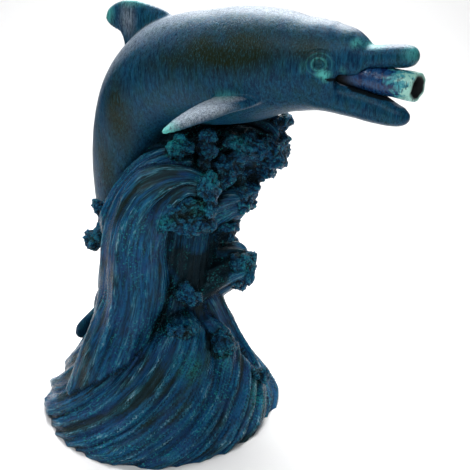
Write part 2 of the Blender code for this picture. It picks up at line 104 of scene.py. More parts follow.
# The spout tube, the hose inlet and their sockets
SPOUT_RADIUS = 0.0115
SPOUT_BORE_RADIUS = 0.0076
SPOUT_END = (0.2520, 0.0, 0.3243)
SPOUT_LENGTH = 0.098
SPOUT_DROOP = math.radians(8)
SPOUT_CUT_TURN = math.radians(12)
INLET_RADIUS = 0.0075
INLET_BORE_RADIUS = 0.0050
INLET_PROUD = 0.0135
INLET_END = (-0.040, BASE_RADIUS + INLET_PROUD, 0.023)
INLET_LENGTH = 0.044
BARB_HEIGHT = 0.0014
BARB_PITCH = 0.006
BARBS = 3
BARB_START = 0.8
BARB_STEEPNESS = 0.15
SEAT_CLEARANCE = 0.0003

# Body stations, nose to tail: x, z, half height across the spine, half width, in millimetres
BODY = (
    (200.0, 330.0, 12.0, 12.0),
    (199.0, 336.0, 21.5, 16.5),
    (194.0, 339.0, 28.5, 20.5),
    (186.0, 338.7, 33.7, 24.0),
    (176.0, 337.8, 35.8, 27.0),
    (158.0, 338.0, 38.0, 31.0),
    (134.0, 338.5, 43.0, 35.5),
    (106.0, 335.5, 48.0, 39.5),
    (77.0, 331.5, 49.0, 42.0),
    (47.0, 328.5, 48.5, 42.0),
    (20.0, 319.0, 47.5, 40.0),
    (-3.0, 301.0, 43.5, 37.0),
    (-20.0, 274.0, 38.5, 32.0),
    (-32.0, 244.0, 32.0, 26.5),
    (-38.5, 211.0, 26.5, 21.0),
    (-41.0, 176.0, 21.0, 16.0),
    (-42.0, 142.0, 16.0, 12.0),
    (-51.0, 112.0, 12.0, 9.5),
    (-67.0, 88.0, 9.0, 8.0),
    (-73.0, 70.0, 5.0, 6.0),
)
UPPER_JAW = (
    (180.0, 341.5, 14.0, 19.0),
    (196.0, 343.0, 11.8, 16.0),
    (213.0, 345.0, 9.7, 12.5),
    (230.0, 346.8, 9.0, 11.0),
    (241.0, 347.2, 8.8, 9.8),
    (248.0, 347.4, 7.0, 7.6),
    (251.5, 347.4, 3.0, 3.6),
)
LOWER_JAW = (
    (176.0, 318.0, 17.0, 21.0),
    (189.0, 314.0, 14.0, 18.0),
    (205.0, 310.5, 13.0, 15.0),
    (220.0, 306.5, 12.0, 12.5),
    (233.0, 302.5, 9.4, 10.2),
    (242.0, 301.0, 7.0, 7.6),
    (247.0, 301.2, 2.8, 3.4),
)
# Fin stations, root to tip: leading edge point, trailing edge point, half thickness, in millimetres
DORSAL_FIN = (
    ((34.0, 0.0, 369.0), (-25.0, 0.0, 322.0), 8.5),
    ((22.0, 0.0, 378.0), (-26.0, 0.0, 337.0), 7.4),
    ((5.0, 0.0, 383.5), (-26.5, 0.0, 350.0), 6.2),
    ((-12.0, 0.0, 387.0), (-30.0, 0.0, 358.0), 5.2),
    ((-27.0, 0.0, 386.5), (-37.5, 0.0, 362.0), 4.4),
    ((-38.0, 0.0, 382.0), (-44.0, 0.0, 366.0), 3.4),
    ((-44.0, 0.0, 377.0), (-46.5, 0.0, 371.0), 1.6),
)
PECTORAL_FIN = (
    ((136.0, -14.0, 318.0), (90.0, -16.0, 318.0), 6.5),
    ((131.0, -32.0, 308.0), (92.0, -35.0, 311.0), 6.2),
    ((119.0, -48.0, 303.5), (86.5, -50.0, 307.0), 5.2),
    ((108.0, -60.0, 298.0), (80.0, -61.0, 302.0), 4.4),
    ((92.0, -72.0, 291.5), (74.0, -72.0, 295.5), 3.6),
    ((80.0, -80.0, 287.0), (70.5, -79.5, 289.5), 2.6),
    ((73.0, -83.5, 285.5), (69.5, -82.5, 286.5), 1.2),
)
FLUKE = (
    ((-53.0, 4.0, 104.0), (-69.0, 4.0, 64.0), 7.0),
    ((-55.0, -10.0, 96.0), (-73.0, -10.0, 57.0), 6.8),
    ((-59.0, -19.0, 89.0), (-75.0, -19.0, 53.0), 6.4),
    ((-63.0, -27.0, 83.0), (-76.0, -27.0, 53.0), 5.6),
    ((-68.0, -33.0, 77.0), (-76.5, -33.0, 57.0), 4.2),
    ((-72.0, -36.0, 72.0), (-75.5, -36.0, 64.0), 2.0),
)
# The low crests round the front of the skirt: bearing in degrees in the wave's own axes, height and reach in
# millimetres
LOW_CREST = (
    (-128, 40, 0), (-106, 54, 6), (-96, 76, 13), (-86, 91, 20), (-75, 100, 24), (-66, 101, 24), (-58, 97, 20),
    (-52, 88, 11), (-48, 84, 11), (-42, 92, 18), (-34, 88, 18), (-28, 74, 13), (-22, 52, 8), (-16, 38, 6),
    (-4, 30, 0),
)
LOW_CREST_FOOT = 0.012
LOW_CREST_DROP = 0.009
# Streams in the wave's own axes, root to lip: x, y, z, half breadth seen from the front and half depth, in
# millimetres
STREAMS = (
    # the main stream, up the front left and over into a curl
    (
        (-62, -60, 22, 20, 8), (-47, -57, 46, 24, 11), (-31, -52, 80, 26, 15), (-18, -48, 118, 25, 20),
        (-14, -46, 150, 25, 21), (-12, -46, 176, 25, 21), (-6, -48, 200, 23, 20), (5, -51, 219, 19, 17),
        (21, -55, 232, 14, 14), (38, -59, 237, 10, 11), (50, -61, 234, 8, 9), (56, -62, 228, 6, 7),
    ),
    # the second stream, behind the first and up under the belly
    (
        (-27, -10, 90, 27, 30), (-20, -14, 150, 24, 30), (-13, -20, 200, 23, 28), (3, -26, 232, 22, 25),
        (24, -31, 246, 18, 19), (44, -34, 249, 13, 12),
    ),
    # the highest crest, which hangs over under the throat
    (
        (18, 2, 205, 36, 34), (38, 0, 240, 34, 32), (66, -2, 258, 30, 28), (92, -3, 260, 24, 24),
        (106, -3, 250, 17, 18),
    ),
    # the crest below it
    (
        (20, 0, 170, 26, 30), (46, -6, 196, 24, 24), (70, -10, 208, 19, 19), (86, -12, 210, 11, 12),
    ),
    # the broad crest at half height
    (
        (16, 0, 92, 30, 32), (40, -4, 118, 27, 27), (64, -9, 135, 24, 21), (82, -12, 143, 18, 16),
        (92, -12, 145, 10, 10),
    ),
    # a swell down the right side
    (
        (32, -6, 128, 20, 20), (47, -8, 96, 19, 18), (65, -10, 66, 17, 16), (85, -12, 38, 14, 12),
        (101, -14, 14, 9, 8),
    ),
    # at the back, a high stream that curls under the far side of the belly
    (
        (-22, 52, 40, 28, 16), (-26, 46, 100, 27, 19), (-20, 42, 160, 25, 20), (-4, 42, 206, 23, 18),
        (22, 42, 230, 20, 14), (44, 42, 236, 14, 10),
    ),
    # and a lower one beside it
    (
        (26, 58, 30, 24, 14), (34, 48, 80, 23, 17), (46, 42, 122, 20, 16), (64, 38, 144, 15, 12),
        (74, 36, 148, 9, 8),
    ),
    # a low crest at the back left
    (
        (-58, 78, 10, 20, 11), (-44, 68, 44, 19, 12), (-22, 60, 76, 16, 11), (-2, 58, 92, 11, 8),
    ),
)
# Masses of foam in the wave's own axes: x, y, z of the middle, half sizes in x, y and z, lump radius, lumps
FOAM = (
    # the main curl's lip: its hanging edge, the lobe at its foot and the hollow inside it
    (57, -66, 226, 7, 7, 21, 7.5, 18),
    (40, -64, 197, 20, 9, 9, 8.0, 26),
    (18, -60, 200, 6, 6, 8, 6.5, 9),
    (33, -60, 212, 15, 6, 9, 8.5, 20),
    # below the pectoral fin, and the edge that runs down from there
    (34, -44, 264, 11, 8, 7, 8.0, 8),
    (54, -38, 262, 8, 8, 20, 8.0, 14),
    (70, -30, 245, 8, 10, 24, 8.5, 10),
    # under the throat
    (107, -5, 256, 25, 26, 26, 9.5, 64),
    (98, 0, 283, 26, 22, 9, 9.0, 20),
    (106, -7, 234, 14, 12, 9, 8.5, 14),
    (86, -8, 232, 13, 12, 10, 9.0, 14),
    (88, -28, 262, 18, 8, 16, 9.0, 22),
    (125, -3, 280, 8, 10, 5, 6.0, 9),
    (76, -14, 238, 12, 14, 12, 9.0, 10),
    (84, -14, 213, 17, 15, 16, 9.0, 24),
    (72, -16, 181, 12, 13, 12, 8.5, 14),
    # on the crests at half height and below
    (84, -14, 143, 18, 17, 19, 8.5, 34),
    (36, -50, 127, 16, 7, 10, 7.0, 14),
    (30, -68, 98, 17, 7, 5, 6.0, 13),
    (68, -58, 81, 15, 8, 10, 6.5, 16),
    (102, -38, 38, 11, 8, 8, 6.0, 9),
    # at the back left
    (-47, -6, 196, 6, 9, 9, 6.5, 12),
    (-45, -7, 181, 8, 9, 7, 6.5, 12),
    (-55, -6, 168, 10, 10, 11, 7.0, 18),
    (44, 42, 240, 22, 12, 13, 8.5, 16),
    (74, 36, 148, 13, 11, 13, 8.0, 12),
    (2, 60, 92, 14, 8, 8, 7.0, 10),
    (-40, 46, 182, 9, 9, 18, 7.5, 12),
)
FOAM_SEED = 7
LUMP_SPREAD = (0.65, 1.25)
LUMP_KNOBS = 8
KNOB_HEIGHT = 0.30
KNOB_SHARPNESS = 8
KNOB_LEVEL = 0.35


def smooth(points, steps):
    """Catmull-Rom points through a list of rows, steps to each span."""
    p = np.asarray(points, float)
    p = np.vstack([2 * p[0] - p[1], p, 2 * p[-1] - p[-2]])
    found = []
    for i in range(1, len(p) - 2):
        for t in np.arange(steps) / steps:
            a = 2 * p[i]
            b = p[i + 1] - p[i - 1]
            c = 2 * p[i - 1] - 5 * p[i] + 4 * p[i + 1] - p[i + 2]
            d = 3 * p[i] - p[i - 1] - 3 * p[i + 1] + p[i + 2]
            found.append(0.5 * (a + b * t + c * t * t + d * t**3))
    found.append(p[-2])
    return np.array(found)


def unit(v):
    return v / np.maximum(np.linalg.norm(v, axis=-1, keepdims=True), 1e-12)


def wave_to_statue(points):
    """Points in the wave's own axes, turned into the statue's."""
    c, s = math.cos(WAVE_TURN), math.sin(WAVE_TURN)
    p = np.asarray(points, float)
    return np.stack([p[..., 0] * c - p[..., 1] * s, p[..., 0] * s + p[..., 1] * c, p[..., 2]], axis=-1)


def spine_rings(stations, steps, sides, squareness=2.0):
    """Oval rings square to a spine that lies in the XZ plane."""
    rows = smooth(stations, steps) * MM
    path = np.stack([rows[:, 0], np.zeros(len(rows)), rows[:, 1]], axis=1)
    along = unit(np.gradient(path, axis=0))
    over = np.stack([-along[:, 2], np.zeros(len(rows)), along[:, 0]], axis=1)
    turn = np.linspace(0, 2 * math.pi, sides, endpoint=False)
    power = 2 / squareness
    up = np.sign(np.sin(turn)) * np.abs(np.sin(turn)) ** power
    out = np.sign(np.cos(turn)) * np.abs(np.cos(turn)) ** power
    rings = []
    for centre, normal, (half_height, half_width) in zip(path, over, rows[:, 2:4]):
        ring = centre + np.outer(up * half_height, normal)
        ring[:, 1] += out * half_width
        rings.append(ring)
    return rings


def fin_rings(stations, steps, sides):
    """Lens-shaped rings between a leading and a trailing edge, blunt in front and thin behind."""
    flat = [(*lead, *trail, thick) for lead, trail, thick in stations]
    rows = smooth(flat, steps) * MM
    middle = (rows[:, 0:3] + rows[:, 3:6]) / 2
    span = unit(np.gradient(middle, axis=0))
    turn = np.linspace(0, 2 * math.pi, sides, endpoint=False)
    rings = []
    for row, centre, outward in zip(rows, middle, span):
        chord = (row[0:3] - row[3:6]) / 2
        across = unit(np.cross(outward, chord))
        fullness = 0.75 + 0.25 * np.cos(turn)
        ring = centre + np.outer(np.cos(turn), chord)
        ring = ring + np.outer(np.sin(turn) * fullness * row[6], across)
        rings.append(ring)
    return rings


def mirrored(rings):
    return [ring * np.array([1, -1, 1]) for ring in rings]


def column_radius(height):
    """The skirt's outline: an upright edge, a flare at about half a right angle, and an upright column."""
    rise = np.clip((height - BASE_EDGE) / (FLARE_HEIGHT - BASE_EDGE), 0, 1)
    climb = np.clip((height - FLARE_HEIGHT) / (COLUMN_TOP - FLARE_HEIGHT), 0, 1)
    neck = COLUMN_RADIUS * (1 - COLUMN_TAPER * climb)
    return neck, (BASE_RADIUS - COLUMN_RADIUS) * (1 - rise) ** FLARE_POWER


def grain(across, along, around):
    """Smooth noise between -1 and 1, one value to a cell. It repeats every `around` cells across."""
    i, j = np.floor(across).astype(int), np.floor(along).astype(int)
    f, g = across - i, along - j
    f, g = f * f * (3 - 2 * f), g * g * (3 - 2 * g)
    left, right = i % around % GRAIN.shape[1], (i + 1) % around % GRAIN.shape[1]
    low, high = j % GRAIN.shape[0], (j + 1) % GRAIN.shape[0]
    lower = GRAIN[low, left] * (1 - f) + GRAIN[low, right] * f
    upper = GRAIN[high, left] * (1 - f) + GRAIN[high, right] * f
    return lower * (1 - g) + upper * g


def relief(turn, along, girth, layers):
    """Height of sharp ridges that run with the flow, at a turn round it and a distance along it."""
    height = 0
    for width, length, depth in layers:
        around = max(4, round(girth / width))
        cells = turn * around / (2 * math.pi)
        height = height + depth * (0.5 - np.abs(grain(cells, along / length, around)))
    return height


def column_rings(levels, sides, layers=FURROWS):
    """Rings of the skirt and column, whose points and furrows sweep round as the water rises."""
    turn = np.linspace(0, 2 * math.pi, sides, endpoint=False)
    girth = 2 * math.pi * BASE_RADIUS
    crest = np.array(LOW_CREST, float)
    rings = []
    heights = np.concatenate([[-OVERSHOOT], COLUMN_TOP * np.linspace(0, 1, levels) ** LEVEL_CROWDING])
    for height in heights:
        share = max(height, 0) / COLUMN_TOP
        sweep = SWIRL * (1 - math.exp(-SWIRL_RATE * share))
        neck, flare = column_radius(height)
        share_of_flare = flare / (BASE_RADIUS - COLUMN_RADIUS)
        along = np.full(sides, height + flare)
        ridges = relief(turn, along, girth, layers) * (neck + flare) / BASE_RADIUS
        front = np.clip(-np.sin(turn + sweep), 0, 1) ** BULGE_POWER
        bearing = (np.degrees(turn + sweep) + 180) % 360 - 180
        top, reach = (np.interp(bearing, crest[:, 0], crest[:, k]) * MM for k in (1, 2))
        climb = np.clip((height - LOW_CREST_FOOT) / (top - LOW_CREST_FOOT), 0, 1)
        fall = np.clip(1 - (height - top) / LOW_CREST_DROP, 0, 1)
        radius = neck + flare + BASE_FRONT_BULGE * front * share_of_flare + reach * climb * fall + ridges
        deep = COLUMN_DEPTH_SHARE + (1 - COLUMN_DEPTH_SHARE) * share_of_flare
        middle_x = COLUMN_LEAN * share**LEAN_POWER + BASE_SHIFT[0] * share_of_flare
        middle_y = BASE_SHIFT[1] * share_of_flare
        across = middle_x + radius * np.cos(turn + sweep)
        back = middle_y + radius * deep * np.sin(turn + sweep)
        ring = np.stack([across, back, np.full(sides, height)], axis=1)
        rings.append(wave_to_statue(ring))
    return rings


def stream_rings(stations, steps, sides, layers=FURROWS):
    """Oval rings along a stream's path, furrowed along its length. Their breadth is what the front shows."""
    rows = smooth(stations, steps) * MM
    path = rows[:, 0:3]
    along = unit(np.gradient(path, axis=0))
    across = unit(np.cross(np.array([0.0, 1.0, 0.0]), along))
    deep = unit(np.cross(along, across))
    turn = np.linspace(0, 2 * math.pi, sides, endpoint=False)
    girth = math.pi * (rows[:, 3].mean() + rows[:, 4].mean())
    run = stations[0][0] + np.concatenate([[0], np.cumsum(np.linalg.norm(np.diff(path, axis=0), axis=1))])
    rings = []
    for centre, a, n, (half_breadth, half_depth), travelled in zip(path, across, deep, rows[:, 3:5], run):
        slim = min(1.0, half_depth / FULL_RELIEF_THICKNESS)
        ridges = STREAM_RELIEF * slim * relief(turn, np.full(sides, travelled), girth, layers)
        broad = (half_breadth + ridges) * np.cos(turn)
        thick = (half_depth + ridges) * np.sin(turn)
        rings.append(wave_to_statue(centre + np.outer(broad, a) + np.outer(thick, n)))
    return rings


def lump(bm, centre, radius, rng, subdivisions):
    """One lump of foam: a ball with knobs."""
    made = bmesh.ops.create_icosphere(bm, subdivisions=subdivisions, radius=radius)
    knobs = unit(rng.normal(size=(LUMP_KNOBS, 3)))
    for vert in made["verts"]:
        way = np.array(vert.co) / radius
        rise = max(0.0, float(np.max(knobs @ way))) ** KNOB_SHARPNESS
        vert.co = centre + way * radius * (1 + KNOB_HEIGHT * (rise - KNOB_LEVEL))


def add_foam(bm, subdivisions):
    rng = np.random.default_rng(FOAM_SEED)
    for x, y, z, wide, deep, tall, radius, count in FOAM:
        for _ in range(count):
            way = rng.normal(size=3)
            way = way / np.linalg.norm(way) * rng.uniform(0.35, 1.0)
            centre = np.array([x, y, z]) + way * np.array([wide, deep, tall]) * 0.85
            size = radius * rng.uniform(*LUMP_SPREAD)
            lump(bm, wave_to_statue(centre * MM), size * MM, rng, subdivisions)


def spout_axis():
    return Vector((math.cos(SPOUT_DROOP), 0.0, -math.sin(SPOUT_DROOP)))


def mesh_object(name, points, faces, uvs=None):
    """A smooth-shaded mesh object from arrays; uvs holds one pair for each face corner."""
    mesh = bpy.data.meshes.new(name)
    mesh.from_pydata(points.tolist(), [], faces)
    if uvs is not None:
        layer = mesh.uv_layers.new(name="flow")
        layer.data.foreach_set("uv", np.asarray(uvs, np.float32).ravel())
    mesh.polygons.foreach_set("use_smooth", [True] * len(mesh.polygons))
    mesh.update()
    made = bpy.data.objects.new(name, mesh)
    bpy.context.scene.collection.objects.link(made)
    return made


def lofted(name, skins):
    """One object from several closed skins of rings. Its UV map runs across and along the flow, in metres."""
    points, faces, uvs = [], [], []
    base = 0
    for rings in skins:
        grid = np.asarray(rings)
        rows, sides = grid.shape[:2]
        around = np.linalg.norm(np.roll(grid, -1, axis=1) - grid, axis=2).mean(axis=0)
        across = np.concatenate([[0.0], np.cumsum(around)])
        steps = np.linalg.norm(grid[1:] - grid[:-1], axis=2).mean(axis=1)
        along = np.concatenate([[0.0], np.cumsum(steps)]) + base * 0.00037
        for r in range(rows - 1):
            for i in range(sides):
                j = (i + 1) % sides
                a, b = base + r * sides, base + (r + 1) * sides
                faces.append((a + i, a + j, b + j, b + i))
                uvs += [(across[i], along[r]), (across[i + 1], along[r]), (across[i + 1], along[r + 1])]
                uvs.append((across[i], along[r + 1]))
        first = [base + i for i in range(sides)][::-1]
        last = [base + (rows - 1) * sides + i for i in range(sides)]
        for cap in (first, last):
            faces.append(tuple(cap))
            uvs += [(0.0, 0.0)] * sides
        points.append(grid.reshape(-1, 3))
        base += rows * sides
    made = mesh_object(name, np.vstack(points), faces, uvs)
    with_bmesh(made, lambda bm: bmesh.ops.recalc_face_normals(bm, faces=bm.faces))
    return made


def with_bmesh(obj, change):
    bm = bmesh.new()
    bm.from_mesh(obj.data)
    change(bm)
    bm.to_mesh(obj.data)
    bm.free()


def applied(obj):
    """Bakes obj's modifiers into its mesh."""
    graph = bpy.context.evaluated_depsgraph_get()
    mesh = bpy.data.meshes.new_from_object(obj.evaluated_get(graph))
    old = obj.data
    obj.modifiers.clear()
    obj.data = mesh
    bpy.data.meshes.remove(old)
    mesh.name = obj.name
    mesh.polygons.foreach_set("use_smooth", [True] * len(mesh.polygons))
    return obj


def fuse(obj, voxel, smoothing):
    remesh = obj.modifiers.new("fuse", "REMESH")
    remesh.mode = "VOXEL"
    remesh.voxel_size = voxel
    soften = obj.modifiers.new("soften", "SMOOTH")
    soften.factor = 0.5
    soften.iterations = smoothing
    return applied(obj)


def cut(obj, cutter):
    boolean = obj.modifiers.new("cut", "BOOLEAN")
    boolean.operation = "DIFFERENCE"
    boolean.solver = "MANIFOLD"
    boolean.object = cutter
    applied(obj)
    bpy.data.objects.remove(cutter)


def displaced(obj, height):
    """Moves each vertex along its normal by height(points), in metres."""
    mesh = obj.data
    points = vertex_points(obj)
    moved = points + vertex_normals(obj) * height(points)[:, None]
    mesh.vertices.foreach_set("co", moved.astype(np.float32).ravel())
    mesh.update()


def vertex_value(obj, name, values):
    layer = obj.data.attributes.new(name, "FLOAT", "POINT")
    layer.data.foreach_set("value", np.asarray(values, np.float32))


def vertex_points(obj):
    points = np.empty(len(obj.data.vertices) * 3, np.float32)
    obj.data.vertices.foreach_get("co", points)
    return points.reshape(-1, 3).astype(float)


def vertex_normals(obj):
    normals = np.empty(len(obj.data.vertices) * 3, np.float32)
    obj.data.vertex_normals.foreach_get("vector", normals)
    return normals.reshape(-1, 3).astype(float)


def spread(obj, values, rounds):
    """Averages values, one row for each vertex, with their neighbours' along the edges."""
    ends = np.empty(len(obj.data.edges) * 2, np.int32)
    obj.data.edges.foreach_get("vertices", ends)
    first, second = ends.reshape(-1, 2).T
    count = len(values)
    near = np.maximum(np.bincount(first, minlength=count) + np.bincount(second, minlength=count), 1)
    for _ in range(rounds):
        columns = [
            (np.bincount(first, column[second], count) + np.bincount(second, column[first], count)) / near
            for column in values.T
        ]
        values = 0.5 * (values + np.stack(columns, axis=1))
    return values


def ridges(obj, rounds, reach):
    """How far each vertex stands over the smoothed surface, from -1 in a valley to 1 on a ridge; reach is in metres."""
    points = vertex_points(obj)
    over = ((points - spread(obj, points, rounds)) * vertex_normals(obj)).sum(axis=1)
    return np.clip(over / reach, -1, 1)


# How sheltered a place is, which sets the painted shade: rays from it that meet the statue
SHELTER_RAYS = 24
SHELTER_REACH = 0.09
SHELTER_LIFT = 0.0035
SHELTER_EVERY = 14
SHELTER_SPREAD = 24


def sphere_points(count):
    """Points spread evenly over a unit sphere."""
    height = 1 - (2 * np.arange(count) + 1) / count
    turn = np.arange(count) * math.pi * (3 - math.sqrt(5))
    wide = np.sqrt(1 - height**2)
    return np.stack([wide * np.cos(turn), wide * np.sin(turn), height], axis=1)


def occlusion_shade(obj, tree):
    """How much shade is painted: 0 in the open to 1 deep inside, from some of the vertices spread to the rest."""
    points, normals = vertex_points(obj), vertex_normals(obj)
    known = np.zeros((len(points), 2))
    rays = sphere_points(SHELTER_RAYS)
    for i in range(0, len(points), SHELTER_EVERY):
        start = Vector(points[i] + normals[i] * SHELTER_LIFT)
        met = 0
        for ray in unit(rays + normals[i] * 1.02):
            met += tree.ray_cast(start, Vector(ray), SHELTER_REACH)[0] is not None
        known[i] = met / SHELTER_RAYS, 1
    known = spread(obj, known, SHELTER_SPREAD)
    return known[:, 0] / np.maximum(known[:, 1], 1e-9)


# The dolphin

SKIN_UNEVENNESS = 0.00012

# An eye's relief: distance from its middle and height over the skin, in millimetres
EYE_PROFILE = (
    (0.0, 1.9), (1.4, 1.8), (2.4, 1.2), (2.9, 0.3), (3.4, 0.3), (4.1, 1.5), (4.9, 1.6), (5.7, 0.7), (6.5, 0.1),
    (7.4, 0.5), (8.4, 0.9), (9.4, 0.5), (10.4, 0.0), (12.0, 0.3), (13.2, -0.5),
)
# Where its rims catch the paler paint: distance from its middle and share
EYE_PAINT = (
    (0.0, 0.0), (2.6, 0.05), (3.4, 0.05), (4.4, 0.28), (5.1, 0.28), (5.9, 0.05), (7.4, 0.0), (8.4, 0.14),
    (9.2, 0.0), (12.0, 0.0),
)
EYE_STRETCH = 1.15
EYE_SPOKES = 72
EYE_RINGS = 40


def bump_at(points, place, reach):
    """1 at a place, falling smoothly to 0 at reach from it."""
    away = np.linalg.norm(points - np.asarray(place), axis=1) / reach
    return np.clip(1 - away, 0, 1) ** 2 * (1 + 2 * np.clip(away, 0, 1))


def skin_height(points):
    unevenness = np.array([noise.fractal(Vector(p) * 90.0, 0.8, 2.0, 3) for p in points])
    return SKIN_UNEVENNESS * unevenness


def wedge(name, half_width):
    """The wedge of air between the jaws."""
    x, z = MOUTH_CORNER
    up = (x + MOUTH_REACH, z + MOUTH_REACH * math.tan(GAPE_UP))
    down = (x + MOUTH_REACH, z - MOUTH_REACH * math.tan(GAPE_DOWN))
    rings = [[(px, y, pz) for px, pz in ((x, z), down, up)] for y in (-half_width, half_width)]
    return lofted(name, [np.array(rings)])


def dolphin_skin():
    fins = [fin_rings(DORSAL_FIN, 8, 48)]
    for stations in (PECTORAL_FIN, FLUKE):
        rings = fin_rings(stations, 8, 48)
        fins += [rings, mirrored(rings)]
    body = [spine_rings(BODY, 10, 96), spine_rings(UPPER_JAW, 10, 64, 2.3), spine_rings(LOWER_JAW, 10, 64, 2.3)]
    skin = lofted("dolphin_skin", body + fins)
    fuse(skin, CLAY_VOXEL, 4)
    cut(skin, wedge("mouth", 0.04))
    socket = round_rings(socket_route(), [SPOUT_RADIUS + SEAT_CLEARANCE] * 2, 64)
    cut(skin, lofted("socket", [socket]))
    fuse(skin, DOLPHIN_VOXEL, 5)
    displaced(skin, skin_height)
    return skin


def socket_route():
    end, axis = np.array(SPOUT_END), np.array(spout_axis())
    return [end - axis * (SPOUT_LENGTH + SEAT_CLEARANCE), end + axis * 0.02]


def eyes(skin):
    """Both eyes: lids and creases laid over the skin of the head."""
    tree = bvhtree.BVHTree.FromObject(skin, bpy.context.evaluated_depsgraph_get())
    profile = np.array(EYE_PROFILE) * MM
    x, _, z = EYE_PLACE
    rings = []
    for side in (-1, 1):
        grid = []
        for reach in np.linspace(0.0002, profile[-1, 0], EYE_RINGS):
            ring = []
            for turn in np.linspace(0, 2 * math.pi, EYE_SPOKES, endpoint=False):
                droop = 1 - 0.12 * math.cos(turn)
                place = Vector((x + reach * EYE_STRETCH * math.cos(turn), side * 0.06, z + reach * droop * math.sin(turn)))
                hit, normal, _, _ = tree.ray_cast(place, Vector((0, -side, 0)))
                slope = profile[:, 1] * np.clip(reach / 0.0035, 0.9, 1)
                ring.append(np.array(hit + normal * float(np.interp(reach, profile[:, 0], slope))))
            grid.append(np.array(ring))
        buried = grid[-1] - np.array([0, side * 0.002, 0])
        rings.append(grid + [buried])
    made = lofted("eyes", rings)
    return made


def accents(points):
    """Where the paler verdigris gathers: melon crease, eyes, mouth corners, jaw tips, fin tips and the dorsal fin."""
    x, y, z = EYE_PLACE
    corner_x, corner_z = MOUTH_CORNER
    even = np.abs(points)
    places = (
        (points, (0.2045, 0.0, 0.3560), 0.0065, (1, 0.22, 1), 0.75),
        (points, (0.218, 0.0, 0.3550), 0.006, (0.4, 0.3, 1), 0.5),
        (even, (x + 0.003, y, z - 0.0075), 0.0060, (0.7, 0.5, 1.2), 0.85),
        (even, (x + 0.0165, y, z - 0.006), 0.005, (1.4, 0.4, 0.7), 0.45),
        (even, (x - 0.013, y, z - 0.003), 0.006, (1.3, 0.4, 0.7), 0.2),
        (even, (corner_x - 0.002, 0.02, corner_z), 0.0045, (1, 0.4, 1), 0.6),
        (even, np.abs(np.array(PECTORAL_FIN[-1][0]) * MM), 0.020, (1, 1, 1), 0.9),
        (even, (0.104, 0.035, 0.312), 0.009, (0.6, 0.5, 1), 0.3),
        (points, (-0.044, 0.0, 0.376), 0.015, (1, 1, 1), 0.75),
        (points, (-0.012, 0.0, 0.388), 0.016, (0.5, 1, 1.6), 0.5),
        (points, (0.248, 0.0, 0.350), 0.011, (1, 0.4, 1), 0.45),
    )
    total = 0
    for where, place, reach, shares, strength in places:
        total = total + strength * bump_at(where * np.array(shares), np.array(place) * np.array(shares), reach)
    from_eye = (even - np.array(EYE_PLACE)) / MM
    reach = np.hypot(from_eye[:, 0] / EYE_STRETCH, from_eye[:, 2])
    reach = np.where(even[:, 1] > 0.008, reach, 99)
    rim, paint = np.array(EYE_PAINT).T
    return np.clip(total + np.interp(reach, rim, paint), 0, 1)


def dark_reflection(points):
    """Where a dark reflection is painted in a browner colour: high on the flanks and down behind them."""
    places = (
        ((0.105, 0, 0.350), 0.032, (0.40, 0, 1), 1.4),
        ((0.172, 0, 0.352), 0.019, (0.80, 0, 1), 0.8),
        ((0.045, 0, 0.335), 0.024, (0.60, 0, 1), 0.8),
        ((-0.010, 0, 0.290), 0.026, (1.0, 0, 0.5), 1.2),
        ((-0.034, 0, 0.235), 0.020, (1.2, 0, 0.4), 0.9),
    )
    total = 0
    for place, reach, shares, strength in places:
        total = total + strength * bump_at(points * np.array(shares), np.array(place) * np.array(shares), reach)
    return np.clip(total, 0, 1)


def highlight_and_wear(points, normals):
    """Where pale paint stands in for a highlight: on faces turned up along the top of the back and down behind the
    dorsal fin, and a glint on the dorsal fin; on the pectoral fins it is pale wear together with a painted highlight.
    """
    top = np.clip((normals[:, 2] - 0.80) / 0.18, 0, 1)
    behind = unit(np.array([-0.66, -0.22, 0.72]))
    shoulder = np.clip(((normals * behind).sum(axis=1) - 0.66) / 0.32, 0, 1) * (points[:, 0] < 0.06)
    low = np.clip((points[:, 2] - 0.13) / 0.17, 0, 1)
    fin = (np.abs(points[:, 1]) > 0.043) & (points[:, 0] > 0.06) & (points[:, 2] > 0.27) & (points[:, 2] < 0.32)
    fin_share = fin * np.clip((np.abs(points[:, 1]) - 0.043) / 0.012, 0, 1) * np.clip(normals[:, 2] + 0.6, 0, 1)
    # A painted glint on the dorsal fin: its place is given already scaled by the shares
    glint = 0.5 * bump_at(points * np.array((1, 0.5, 0.6)), np.array((-0.018, -0.002, 0.222)), 0.014)
    return np.clip(np.maximum(np.maximum(top, 0.7 * shoulder * low), 0.7 * fin_share) + glint, 0, 1)


def mouth_depth(points):
    """How much shade is painted between the jaws: 1 deep inside, falling to 0 at the lips."""
    x, z = MOUTH_CORNER
    ahead = points[:, 0] - x
    up = z + np.maximum(ahead, 0) * math.tan(GAPE_UP) + 0.0008
    lip = 0.0040 * np.clip((ahead - 0.006) / 0.010, 0, 1) * np.clip(1 - ahead / 0.055, 0, 1)
    down = z - np.maximum(ahead, 0) * math.tan(GAPE_DOWN) - 0.0008 - lip
    inside = (ahead > -0.002) & (points[:, 2] < up) & (points[:, 2] > down)
    return np.where(inside, np.clip(1.9 - ahead / 0.044, 0, 1), 0.0)


# The water

# Relief too fine for the solid: width of a furrow, length along the flow, depth
FINE_FURROWS = ((0.0085, 0.070, 0.0006), (0.0046, 0.045, 0.0014), (0.0026, 0.030, 0.0008))
VALLEY_SMOOTHING = 4


